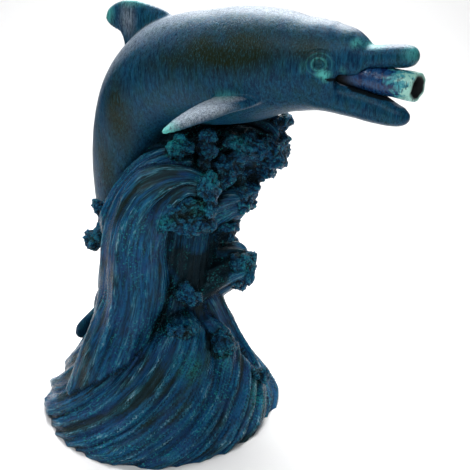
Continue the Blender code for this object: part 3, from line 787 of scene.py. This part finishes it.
def flow_samples(skins):
    """Points over the skins, each with its place across and along the flow and those two directions."""
    found = []
    for number, rings in enumerate(skins):
        grid = np.asarray(rings)
        ahead = unit(np.gradient(grid, axis=0))
        aside = unit(np.roll(grid, -1, axis=1) - np.roll(grid, 1, axis=1))
        around = np.linalg.norm(np.roll(grid, -1, axis=1) - grid, axis=2).mean(axis=0)
        across = np.concatenate([[0.0], np.cumsum(around)[:-1]]) + number * 0.731
        steps = np.linalg.norm(grid[1:] - grid[:-1], axis=2).mean(axis=1)
        along = np.concatenate([[0.0], np.cumsum(steps)]) + number * 0.377
        places = np.broadcast_to(across, grid.shape[:2]), np.broadcast_to(along[:, None], grid.shape[:2])
        found.append(np.concatenate([grid, ahead, aside, places[0][..., None], places[1][..., None]], axis=2))
    return np.concatenate([rows.reshape(-1, 11) for rows in found])


def flow_at(points, samples):
    """Each point's place across and along the flow, from the nearest sample and its two directions."""
    tree = kdtree.KDTree(len(samples))
    for i, row in enumerate(samples):
        tree.insert(row[:3], i)
    tree.balance()
    near = samples[[tree.find(p)[1] for p in points]]
    away = points - near[:, 0:3]
    across = near[:, 9] + (away * near[:, 6:9]).sum(axis=1)
    along = near[:, 10] + (away * near[:, 3:6]).sum(axis=1)
    return np.stack([across, along], axis=1)


def water_skin():
    skins = [column_rings(COLUMN_LEVELS, COLUMN_SIDES)]
    skins += [stream_rings(stations, STREAM_STEPS, STREAM_SIDES) for stations in STREAMS]
    skin = lofted("water_skin", skins)
    fuse(skin, WATER_VOXEL, VALLEY_SMOOTHING)
    points = vertex_points(skin)
    flow = flow_at(points, flow_samples(skins))
    rise = 0
    for width, length, depth in FINE_FURROWS:
        rise = rise + depth * (0.5 - np.abs(grain(flow[:, 0] / width, flow[:, 1] / length, GRAIN.shape[1])))
    above = np.clip(points[:, 2] / 0.004, 0, 1)
    displaced(skin, lambda _: rise * above)
    layer = skin.data.attributes.new("flow", "FLOAT_VECTOR", "POINT")
    layer.data.foreach_set("vector", np.pad(flow, ((0, 0), (0, 1))).astype(np.float32).ravel())
    with_bmesh(skin, cut_at_floor)
    return skin


def cut_at_floor(bm):
    """Takes off what is below the surface that the statue stands on, and closes the underside."""
    everything = bm.verts[:] + bm.edges[:] + bm.faces[:]
    cut = bmesh.ops.bisect_plane(bm, geom=everything, plane_co=(0, 0, 0), plane_no=(0, 0, 1), clear_inner=True)
    rim = [e for e in cut["geom_cut"] if isinstance(e, bmesh.types.BMEdge)]
    bmesh.ops.holes_fill(bm, edges=rim)


# Where verdigris gathers on the water and the foam, in the wave's own axes: x, y, z, reach and strength
VERDIGRIS = (
    (26, -48, 266, 16, 0.9), (48, -60, 258, 14, 0.5), (58, -66, 240, 16, 0.7), (50, -68, 215, 14, 0.5),
    (18, -66, 200, 14, 0.45), (80, -40, 270, 14, 0.4), (96, -50, 20, 26, 0.6), (112, -20, 30, 20, 0.5),
    (40, -84, 70, 22, 0.4), (74, -66, 70, 18, 0.5), (-20, -92, 18, 20, 0.5), (92, -26, 150, 16, 0.5),
    (70, -28, 200, 14, 0.35), (84, -40, 262, 14, 0.4), (-54, -10, 170, 12, 0.3), (-2, -104, 12, 18, 0.45),
)


# Where shade is painted into the recesses hidden behind the streams, in the same form
RECESS_SHADE = (
    (28, -46, 160, 26, 0.9), (44, -40, 138, 32, 1.0), (62, -30, 150, 30, 1.0), (66, -24, 172, 20, 0.8),
    (56, -40, 132, 24, 1.0),
)


def kept_inside(obj, box):
    """Holds a skin's relief within the CAD's box."""
    low, high = (np.array(list(corner)) for corner in box)
    points = np.clip(vertex_points(obj), low, high)
    obj.data.vertices.foreach_set("co", points.astype(np.float32).ravel())
    obj.data.update()


def gathered(points, places):
    total = 0
    for x, y, z, reach, strength in places:
        place = wave_to_statue(np.array([x, y, z]) * MM)
        total = total + strength * bump_at(points, place, reach * MM)
    return np.clip(total, 0, 1)


# The foam

FOAM_WARP = 0.0040
FOAM_WARP_SCALE = 95.0
# Knobs in three sizes: width and height
FOAM_KNOBS = ((0.0092, 0.0028), (0.0046, 0.0018), (0.0021, 0.0009))


def cells(points, size):
    """Round knobs with creases between them, 1 on a knob's top and about 0 in a crease."""
    found = np.empty(len(points))
    for i, point in enumerate(points):
        distances, _ = noise.voronoi(Vector(point / size))
        found[i] = 1 - min(1.0, distances[0] / max(distances[1], 1e-6))
    return found


def foam_height(points):
    warp = FOAM_WARP * np.array([noise.noise_vector(Vector(p) * FOAM_WARP_SCALE) for p in points])
    return sum(height * (cells(points + warp, size) - 0.55) for size, height in FOAM_KNOBS)


def foam_skin():
    bm = bmesh.new()
    add_foam(bm, 3)
    mesh = bpy.data.meshes.new("foam_skin")
    bm.to_mesh(mesh)
    bm.free()
    skin = bpy.data.objects.new("foam_skin", mesh)
    bpy.context.scene.collection.objects.link(skin)
    fuse(skin, FOAM_VOXEL, 1)
    displaced(skin, foam_height)
    return skin


# The tubes

TUBE_SIDES = 72


def round_rings(route, radii, sides):
    """Round rings square to a straight route."""
    route = np.asarray(route, float)
    ahead = unit(route[-1] - route[0])
    over = unit(np.array([0.0, 0.0, 1.0]) - ahead * ahead[2])
    side = np.cross(ahead, over)
    turn = np.linspace(0, 2 * math.pi, sides, endpoint=False)
    spokes = np.outer(np.sin(turn), over) + np.outer(np.cos(turn), side)
    return [centre + radius * spokes for centre, radius in zip(route, radii)]


def tube_skin(name, end, axis, stations, bore_radius, cut_turn, unevenness):
    outer = round_rings([end - axis * back for back, _ in stations], [r for _, r in stations], TUBE_SIDES)
    depths = [back for back, _ in stations]
    inner = round_rings([end - axis * back for back in depths], [bore_radius] * len(depths), TUBE_SIDES)
    turn = np.linspace(0, 2 * math.pi, TUBE_SIDES, endpoint=False)
    ragged = unevenness * (np.sin(2 * turn + 0.6) + 0.5 * np.sin(5 * turn + 2.0) + 0.3 * np.sin(9 * turn))
    for ring in (outer[0], inner[0]):
        ring += np.outer(ring[:, 1] * math.tan(cut_turn) - np.abs(ragged), axis)
    rings = outer + inner[::-1]
    rings.append(rings[0])
    grid = np.asarray(rings[:-1])
    points = grid.reshape(-1, 3)
    rows = len(grid)
    faces, uvs = [], []
    for r in range(rows):
        for i in range(TUBE_SIDES):
            j = (i + 1) % TUBE_SIDES
            a, b = r * TUBE_SIDES, ((r + 1) % rows) * TUBE_SIDES
            faces.append((a + i, a + j, b + j, b + i))
            uvs += [(i / TUBE_SIDES, r / rows), ((i + 1) / TUBE_SIDES, r / rows)]
            uvs += [((i + 1) / TUBE_SIDES, (r + 1) / rows), (i / TUBE_SIDES, (r + 1) / rows)]
    made = mesh_object(name, points, faces, uvs)
    with_bmesh(made, lambda bm: bmesh.ops.recalc_face_normals(bm, faces=bm.faces))
    edges = made.modifiers.new("edges", "BEVEL")
    edges.width = 0.0007
    edges.segments = 2
    edges.limit_method = "ANGLE"
    edges.angle_limit = math.radians(40)
    return applied(made)


def spout_skin():
    backs = np.linspace(0, SPOUT_LENGTH, 30)
    wobble = 0.00025 * np.sin(backs * 260) - 0.0001
    stations = [(back, SPOUT_RADIUS + w - 0.0002) for back, w in zip(backs, wobble)]
    return tube_skin(
        "spout_skin", np.array(SPOUT_END), np.array(spout_axis()), stations, SPOUT_BORE_RADIUS, SPOUT_CUT_TURN, 0.0005
    )


def tube_accent(points):
    """More of the pale paint towards the spout's end."""
    from_end = (SPOUT_END[0] - points[:, 0]) / 0.034
    return np.clip(0.58 - 0.45 * from_end, 0, 0.6)


def throat_shadow(points):
    """1 on the spout deep between the jaws, where shade is painted, falling to 0 on its way out."""
    depth = SPOUT_END[0] - points[:, 0]
    over = points[:, 2] - (SPOUT_END[2] + depth * math.tan(SPOUT_DROOP))
    return np.clip((depth - 0.048 - 0.9 * over) / 0.012, 0, 1)


def in_bore(points, end, axis, bore_radius):
    """1 on the inside of a tube, 0 on the outside."""
    away = points - np.asarray(end)
    away = away - np.outer(away @ np.asarray(axis), np.asarray(axis))
    return (np.linalg.norm(away, axis=1) < bore_radius + 0.0006).astype(float)


def inlet_skin():
    stations = [(0.0, INLET_RADIUS)]
    for i in range(BARBS):
        ridge = (i + 0.8) * BARB_PITCH
        stations.append((ridge, INLET_RADIUS + BARB_HEIGHT))
        stations.append((ridge + BARB_PITCH * 0.15, INLET_RADIUS))
    stations.append((INLET_LENGTH, INLET_RADIUS))
    axis = np.array([0.0, 1.0, 0.0])
    return tube_skin("inlet_skin", np.array(INLET_END), axis, stations, INLET_BORE_RADIUS, 0.0, 0.0)


# Materials

class Nodes:
    """Short names for building a material's node tree."""

    def __init__(self, name):
        self.material = bpy.data.materials.new(name)
        self.material.use_nodes = True
        self.tree = self.material.node_tree
        self.shader = self.tree.nodes["Principled BSDF"]

    def put(self, kind, **settings):
        node = self.tree.nodes.new(kind)
        for key, value in settings.items():
            setattr(node, key, value)
        return node

    def link(self, out, into):
        self.tree.links.new(out, into)

    def set(self, **values):
        for key, value in values.items():
            self.shader.inputs[key.replace("_", " ")].default_value = value

    def where(self, source, scale, turn=(0, 0, 0)):
        """Coordinates stretched by scale: source is Object, UV or Generated."""
        coordinates = self.put("ShaderNodeTexCoord")
        mapping = self.put("ShaderNodeMapping")
        mapping.inputs["Scale"].default_value = scale
        mapping.inputs["Rotation"].default_value = turn
        self.link(coordinates.outputs[source], mapping.inputs["Vector"])
        return mapping.outputs["Vector"]

    def noise(self, vector, scale=1.0, detail=4.0, roughness=0.55, distortion=0.0):
        node = self.put("ShaderNodeTexNoise")
        node.inputs["Scale"].default_value = scale
        node.inputs["Detail"].default_value = detail
        node.inputs["Roughness"].default_value = roughness
        node.inputs["Distortion"].default_value = distortion
        self.link(vector, node.inputs["Vector"])
        return node.outputs["Fac"]

    def ramp(self, fac, *stops):
        """A colour ramp through stops of (place, grey or colour)."""
        node = self.put("ShaderNodeValToRGB")
        elements = node.color_ramp.elements
        while len(elements) < len(stops):
            elements.new(0.5)
        for element, (place, colour) in zip(elements, stops):
            element.position = place
            rgb = (colour,) * 3 if isinstance(colour, (int, float)) else colour
            element.color = (*rgb, 1.0)
        self.link(fac, node.inputs["Fac"])
        return node.outputs["Color"]

    def mix(self, fac, first, second, blend="MIX"):
        node = self.put("ShaderNodeMix", data_type="RGBA", blend_type=blend)
        for name, value in (("Factor", fac), ("A", first), ("B", second)):
            socket = next(s for s in node.inputs if s.name == name and s.enabled)
            if isinstance(value, bpy.types.NodeSocket):
                self.link(value, socket)
            elif isinstance(value, (int, float)):
                socket.default_value = value
            else:
                socket.default_value = (*value, 1.0)
        return next(s for s in node.outputs if s.enabled)

    def math(self, operation, first, second):
        node = self.put("ShaderNodeMath", operation=operation)
        for socket, value in zip(node.inputs, (first, second)):
            if isinstance(value, bpy.types.NodeSocket):
                self.link(value, socket)
            else:
                socket.default_value = value
        return node.outputs["Value"]

    def pointiness(self):
        return self.put("ShaderNodeNewGeometry").outputs["Pointiness"]

    def flow(self, across, along):
        """Coordinates across and along the flow, stretched."""
        source = self.put("ShaderNodeAttribute", attribute_name="flow")
        mapping = self.put("ShaderNodeMapping")
        mapping.inputs["Scale"].default_value = (across, along, 1)
        self.link(source.outputs["Vector"], mapping.inputs["Vector"])
        return mapping.outputs["Vector"]

    def attribute(self, name):
        return self.put("ShaderNodeAttribute", attribute_name=name).outputs["Fac"]

    def height(self, value, distance, strength=1.0, below=None):
        node = self.put("ShaderNodeBump")
        node.inputs["Distance"].default_value = distance
        node.inputs["Strength"].default_value = strength
        self.link(value, node.inputs["Height"])
        if below is not None:
            self.link(below, node.inputs["Normal"])
        return node.outputs["Normal"]

    def finish(self, colour, roughness, normal):
        self.link(colour, self.shader.inputs["Base Color"])
        self.link(roughness, self.shader.inputs["Roughness"])
        self.link(normal, self.shader.inputs["Normal"])
        return self.material


INK = (0.0008, 0.0025, 0.0040)
NAVY = (0.0020, 0.0180, 0.0500)
SLATE = (0.0040, 0.0290, 0.0420)
BLUE = (0.0040, 0.0600, 0.1650)
TEAL = (0.0120, 0.1900, 0.2700)
MINT = (0.1000, 0.5000, 0.4500)
TURQUOISE = (0.0150, 0.3200, 0.3100)
VIOLET = (0.0100, 0.0330, 0.1200)
OLIVE = (0.0090, 0.0140, 0.0050)
PEARL = (0.4400, 0.4700, 0.5100)


def dolphin_material():
    n = Nodes("dolphin_patina")
    scratches = n.noise(n.where("Object", (1300, 1300, 210)), detail=5, roughness=0.75)
    strokes = n.noise(n.where("Object", (560, 560, 70)), detail=6, roughness=0.75)
    bands = n.noise(n.where("Object", (90, 90, 26)), detail=5, roughness=0.65, distortion=0.3)
    clouds = n.noise(n.where("Object", (22, 22, 20)), detail=5, roughness=0.6)
    colour = n.mix(n.ramp(bands, (0.40, 0), (0.56, 1)), SLATE, NAVY)
    colour = n.mix(n.ramp(strokes, (0.45, 0), (0.62, 0.75)), colour, (0.0060, 0.0750, 0.1500))
    # Painted dark reflection: olive-brown high on the flanks and down behind them, broken up by clouds
    dark_reflection_share = n.math("MULTIPLY", n.attribute("dark_reflection"), n.ramp(clouds, (0.36, 0.3), (0.52, 1)))
    colour = n.mix(dark_reflection_share, colour, OLIVE)
    colour = n.mix(n.ramp(scratches, (0.52, 0), (0.68, 0.55)), colour, (0.0250, 0.1400, 0.2000))
    colour = n.mix(n.ramp(scratches, (0.32, 0.7), (0.44, 0)), colour, INK)
    # Painted highlight: pale paint where the back and fins face upwards, and a glint on the dorsal fin, broken up by
    # strokes and scratches; on the pectoral fins partly pale wear
    brushed_and_highlight = n.math("MULTIPLY", n.attribute("highlight_and_wear"), n.ramp(strokes, (0.32, 0.15), (0.58, 1)))
    brushed_and_highlight = n.math("MULTIPLY", brushed_and_highlight, n.ramp(scratches, (0.40, 0.15), (0.58, 1)))
    colour = n.mix(brushed_and_highlight, colour, PEARL)
    painted = n.math("MULTIPLY", n.attribute("accent"), n.ramp(strokes, (0.36, 0.1), (0.52, 1)))
    colour = n.mix(painted, colour, MINT)
    # Painted shade where the casting shelters the skin
    colour = n.mix(n.ramp(n.attribute("occlusion_shade"), (0.45, 0), (0.85, 0.8)), colour, INK)
    # Painted shade deep between the jaws
    colour = n.mix(n.attribute("mouth"), colour, INK)
    roughness = n.mix(n.attribute("mouth"), n.ramp(strokes, (0.3, 0.22), (0.7, 0.42)), (0.8, 0.8, 0.8))
    normal = n.height(strokes, 0.0006, 0.6)
    normal = n.height(scratches, 0.0003, 0.5, below=normal)
    n.set(Specular_IOR_Level=0.14, Specular_Tint=(0.60, 0.85, 1.0, 1.0))
    return n.finish(colour, roughness, normal)


def water_material():
    n = Nodes("water_patina")
    fine = n.noise(n.flow(850, 70), detail=5, roughness=0.7, distortion=0.3)
    streaks = n.noise(n.flow(280, 18), detail=6, roughness=0.65, distortion=0.3)
    patches = n.noise(n.flow(46, 12), detail=5, roughness=0.6)
    clouds = n.noise(n.where("Object", (34, 34, 26)), detail=4, roughness=0.6)
    flecks = n.noise(n.where("Object", (520, 520, 520)), detail=5, roughness=0.75)
    ridge = n.attribute("ridge")
    colour = n.mix(n.ramp(streaks, (0.42, 0), (0.58, 1)), NAVY, BLUE)
    colour = n.mix(n.ramp(clouds, (0.50, 0), (0.62, 0.8)), colour, VIOLET)
    colour = n.mix(n.ramp(patches, (0.52, 0), (0.60, 0.85)), colour, OLIVE)
    colour = n.mix(n.ramp(fine, (0.36, 0.75), (0.50, 0)), colour, INK)
    # Painted shade in the valleys between the ridges
    colour = n.mix(n.ramp(ridge, (0.10, 0.9), (0.42, 0)), colour, INK)
    brushed_and_highlight = n.math("MULTIPLY", n.ramp(ridge, (0.46, 0), (0.76, 1)), n.ramp(fine, (0.46, 0), (0.60, 0.8)))
    colour = n.mix(brushed_and_highlight, colour, TEAL)
    glints = n.math("MULTIPLY", n.ramp(ridge, (0.56, 0), (0.84, 1)), n.ramp(fine, (0.56, 0), (0.66, 0.7)))
    colour = n.mix(glints, colour, PEARL)
    # Painted shade where the casting shelters the water, and in the recesses behind the streams
    colour = n.mix(n.ramp(n.attribute("occlusion_shade"), (0.32, 0), (0.62, 0.95)), colour, INK)
    flecked = n.math("MULTIPLY", n.ramp(flecks, (0.56, 0), (0.64, 0.8)), n.ramp(patches, (0.42, 1), (0.52, 0)))
    colour = n.mix(flecked, colour, TURQUOISE)
    painted = n.math("MULTIPLY", n.attribute("accent"), n.ramp(flecks, (0.46, 0), (0.56, 1)))
    colour = n.mix(painted, colour, TURQUOISE)
    roughness = n.ramp(streaks, (0.3, 0.11), (0.7, 0.32))
    normal = n.height(streaks, 0.0020, 0.9)
    normal = n.height(fine, 0.0010, 0.8, below=normal)
    normal = n.height(flecks, 0.0006, 0.6, below=normal)
    n.set(Specular_IOR_Level=0.24, Specular_Tint=(0.40, 0.78, 1.0, 1.0))
    return n.finish(colour, roughness, normal)


def foam_material():
    n = Nodes("foam_patina")
    grain = n.noise(n.where("Object", (700, 700, 700)), detail=5, roughness=0.75)
    crinkles = n.noise(n.where("Object", (260, 260, 260)), detail=6, roughness=0.7, distortion=1.2)
    clouds = n.noise(n.where("Object", (60, 60, 60)), detail=4, roughness=0.6)
    ridge = n.attribute("ridge")
    # Painted shade in the creases between the knobs, ink in the creases to navy on the knobs
    colour = n.mix(n.ramp(ridge, (0.10, 0), (0.55, 1)), INK, NAVY)
    washed = n.math("MULTIPLY", n.ramp(ridge, (0.28, 0), (0.60, 1)), n.ramp(crinkles, (0.40, 0.2), (0.56, 1)))
    colour = n.mix(washed, colour, BLUE)
    colour = n.mix(n.ramp(clouds, (0.54, 0), (0.62, 0.7)), colour, OLIVE)
    colour = n.mix(n.ramp(crinkles, (0.38, 0.85), (0.50, 0)), colour, INK)
    tips = n.math("MULTIPLY", n.ramp(ridge, (0.44, 0), (0.74, 1)), n.ramp(grain, (0.46, 0), (0.58, 0.9)))
    colour = n.mix(tips, colour, TEAL)
    # Painted shade where the casting shelters the foam, and in the recesses behind the streams
    colour = n.mix(n.ramp(n.attribute("occlusion_shade"), (0.42, 0), (0.75, 0.92)), colour, INK)
    pale = n.math("MULTIPLY", n.ramp(ridge, (0.56, 0), (0.86, 1)), n.ramp(clouds, (0.36, 0.9), (0.48, 0)))
    pale = n.math("MULTIPLY", pale, n.ramp(grain, (0.46, 0), (0.56, 1)))
    painted = n.math("MULTIPLY", n.attribute("accent"), n.ramp(crinkles, (0.47, 0), (0.56, 1)))
    colour = n.mix(n.math("MAXIMUM", pale, painted), colour, TURQUOISE)
    roughness = n.ramp(grain, (0.3, 0.12), (0.7, 0.34))
    normal = n.height(crinkles, 0.0030, 0.9)
    normal = n.height(grain, 0.0010, 0.8, below=normal)
    n.set(Specular_IOR_Level=0.32, Specular_Tint=(0.45, 0.82, 1.0, 1.0))
    return n.finish(colour, roughness, normal)


def tube_material():
    n = Nodes("tube_paint")
    patches = n.noise(n.where("Object", (60, 110, 110)), detail=5, roughness=0.6, distortion=0.5)
    strokes = n.noise(n.where("Object", (420, 160, 160)), detail=4, roughness=0.6, distortion=1.0)
    colour = n.mix(n.ramp(strokes, (0.44, 0), (0.60, 1)), (0.003, 0.014, 0.060), (0.012, 0.090, 0.240))
    reach = n.math("ADD", n.attribute("accent"), patches)
    colour = n.mix(n.ramp(reach, (0.82, 0), (0.90, 0.9)), colour, (0.060, 0.330, 0.380))
    colour = n.mix(n.ramp(reach, (0.94, 0), (1.0, 1)), colour, (0.300, 0.600, 0.520))
    colour = n.mix(n.ramp(strokes, (0.54, 0), (0.62, 0.7)), colour, NAVY)
    # Painted shade inside the bore and deep down the throat
    colour = n.mix(n.attribute("bore_shade"), colour, INK)
    roughness = n.mix(n.attribute("bore_shade"), n.ramp(patches, (0.3, 0.16), (0.7, 0.36)), (0.8, 0.8, 0.8))
    normal = n.height(strokes, 0.0016, 0.6)
    n.set(Specular_IOR_Level=0.4)
    return n.finish(colour, roughness, normal)


def brass_material():
    n = Nodes("dull_brass")
    turning = n.noise(n.where("Object", (80, 1500, 80)), detail=3)
    stains = n.noise(n.where("Object", (140, 140, 140)), detail=5, roughness=0.65)
    colour = n.mix(n.ramp(stains, (0.45, 0), (0.65, 0.8)), (0.45, 0.33, 0.13), (0.10, 0.16, 0.12))
    roughness = n.ramp(stains, (0.35, 0.28), (0.65, 0.55))
    normal = n.height(turning, 0.0003, 0.4)
    n.set(Metallic=0.9)
    return n.finish(colour, roughness, normal)


# The stage

def from_photo_axes(x, y, z):
    """A place in the camera's own axes, x to its right and y away from it, in the statue's frame."""
    return Vector(wave_to_statue(np.array([x, y, z])).tolist())


def aimed(obj, place, target):
    obj.location = place
    obj.rotation_euler = (target - place).to_track_quat("-Z", "Y").to_euler()


def camera():
    lens = bpy.data.cameras.new("photo_camera")
    lens.lens = CAMERA_LENS
    lens.sensor_width = SENSOR
    made = bpy.data.objects.new("photo_camera", lens)
    bpy.context.scene.collection.objects.link(made)
    place = from_photo_axes(CAMERA_SHIFT, -CAMERA_DISTANCE, CAMERA_HEIGHT)
    ahead = from_photo_axes(0, math.cos(CAMERA_PITCH), -math.sin(CAMERA_PITCH))
    aimed(made, place, place + ahead)
    bpy.context.scene.camera = made


def softbox(name, place, target, width, height, power, colour=(1, 1, 1)):
    lamp = bpy.data.lights.new(name, "AREA")
    lamp.shape = "RECTANGLE"
    lamp.size = width
    lamp.size_y = height
    lamp.energy = power
    lamp.color = colour
    made = bpy.data.objects.new(name, lamp)
    bpy.context.scene.collection.objects.link(made)
    aimed(made, from_photo_axes(*place), from_photo_axes(*target))


SWEEP_BACK = 1.7
SWEEP_RADIUS = 0.9
SWEEP_HEIGHT = 3.2
FLOOR_HALF_WIDTH = 3.5
WALL_HALF_WIDTH = 0.95
SWEEP_FRONT = 3.0


def backdrop():
    """A floor that curves up into a wall behind the statue."""
    bend = np.linspace(0, math.pi / 2, 24)
    start = SWEEP_BACK - SWEEP_RADIUS
    profile = [(-SWEEP_FRONT, 0.0, FLOOR_HALF_WIDTH), (0.0, 0.0, FLOOR_HALF_WIDTH)]
    for angle in bend:
        height = SWEEP_RADIUS * (1 - math.cos(angle))
        profile.append((start + SWEEP_RADIUS * math.sin(angle), height, WALL_HALF_WIDTH))
    profile.append((SWEEP_BACK, SWEEP_HEIGHT, WALL_HALF_WIDTH))
    points = [from_photo_axes(x, y, z) for y, z, half in profile for x in (-half, half)]
    faces = [(i, i + 1, i + 3, i + 2) for i in range(0, len(points) - 2, 2)]
    made = mesh_object("backdrop", np.array([list(p) for p in points]), faces)
    paint = bpy.data.materials.new("backdrop_paint")
    paint.use_nodes = True
    shader = paint.node_tree.nodes["Principled BSDF"]
    shader.inputs["Base Color"].default_value = (0.80, 0.80, 0.80, 1)
    shader.inputs["Roughness"].default_value = 1.0
    shader.inputs["Specular IOR Level"].default_value = 0.0
    made.data.materials.append(paint)


def stage():
    backdrop()
    softbox("overhead", (0.06, 0.30, 1.10), (0.08, 0.0, 0.33), 0.80, 0.40, 20)
    softbox("behind", (0.1, 1.0, 1.35), (0.05, 0.3, 0.2), 1.4, 0.5, 12)
    softbox("key", (-0.45, -1.00, 1.30), (0.05, 0.0, 0.2), 0.08, 0.08, 7.0)
    softbox("left", (-0.85, 0.35, 0.95), (0.0, 0.0, 0.32), 0.3, 0.3, 2, (1.0, 0.92, 0.95))
    softbox("front", (0.15, -1.35, 1.15), (0.05, 0.0, 0.2), 0.4, 0.3, 7.5)
    softbox("wall", (0.0, 0.7, 1.8), (0.0, 1.7, 0.9), 2.4, 0.5, 17)
    world = bpy.data.worlds.new("studio")
    world.use_nodes = True
    world.node_tree.nodes["Background"].inputs["Color"].default_value = (0.9, 0.95, 1.0, 1)
    world.node_tree.nodes["Background"].inputs["Strength"].default_value = 0.08
    bpy.context.scene.world = world
    bpy.context.scene.view_settings.view_transform = "Standard"


def dress(piece, material, slot, *nodes):
    piece.data.materials.clear()
    piece.data.materials.append(material)
    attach(piece, "root")
    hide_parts(*nodes)


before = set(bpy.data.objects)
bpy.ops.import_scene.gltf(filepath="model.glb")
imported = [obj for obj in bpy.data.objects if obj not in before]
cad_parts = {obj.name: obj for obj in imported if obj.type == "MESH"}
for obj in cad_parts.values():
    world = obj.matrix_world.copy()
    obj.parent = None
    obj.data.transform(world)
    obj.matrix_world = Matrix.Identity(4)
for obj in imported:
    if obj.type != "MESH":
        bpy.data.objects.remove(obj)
cad_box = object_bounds()
camera()
casting = bvhtree.BVHTree.FromObject(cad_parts["statue_casting"], bpy.context.evaluated_depsgraph_get())
dolphin = dolphin_skin()
eye_relief = eyes(dolphin)
skin_paint = dolphin_material()
for skin in (dolphin, eye_relief):
    vertex_value(skin, "accent", accents(vertex_points(skin)))
    vertex_value(skin, "highlight_and_wear", highlight_and_wear(vertex_points(skin), vertex_normals(skin)))
    vertex_value(skin, "dark_reflection", dark_reflection(vertex_points(skin)))
    vertex_value(skin, "mouth", mouth_depth(vertex_points(skin)))
    vertex_value(skin, "occlusion_shade", occlusion_shade(skin, casting))
    dress(skin, skin_paint, "patinated_casting", "statue_casting")
for skin, paint, rounds, reach in (
    (water_skin(), water_material(), 22, 0.0016),
    (foam_skin(), foam_material(), 12, 0.0016),
):
    kept_inside(skin, cad_box)
    vertex_value(skin, "ridge", 0.5 + 0.5 * ridges(skin, rounds, reach))
    points = vertex_points(skin)
    vertex_value(skin, "accent", gathered(points, VERDIGRIS))
    # Painted shade: where the casting shelters the skin, and in the recesses behind the streams
    vertex_value(skin, "occlusion_shade", np.maximum(occlusion_shade(skin, casting), gathered(points, RECESS_SHADE)))
    dress(skin, paint, "patinated_casting", "statue_casting")
spout = spout_skin()
vertex_value(spout, "accent", tube_accent(vertex_points(spout)))
bore_shade = in_bore(vertex_points(spout), SPOUT_END, spout_axis(), SPOUT_BORE_RADIUS)
vertex_value(spout, "bore_shade", np.maximum(bore_shade, throat_shadow(vertex_points(spout))))
dress(spout, tube_material(), "painted_tube", "spout_tube")
dress(inlet_skin(), brass_material(), "inlet_brass", "hose_inlet")
stage()
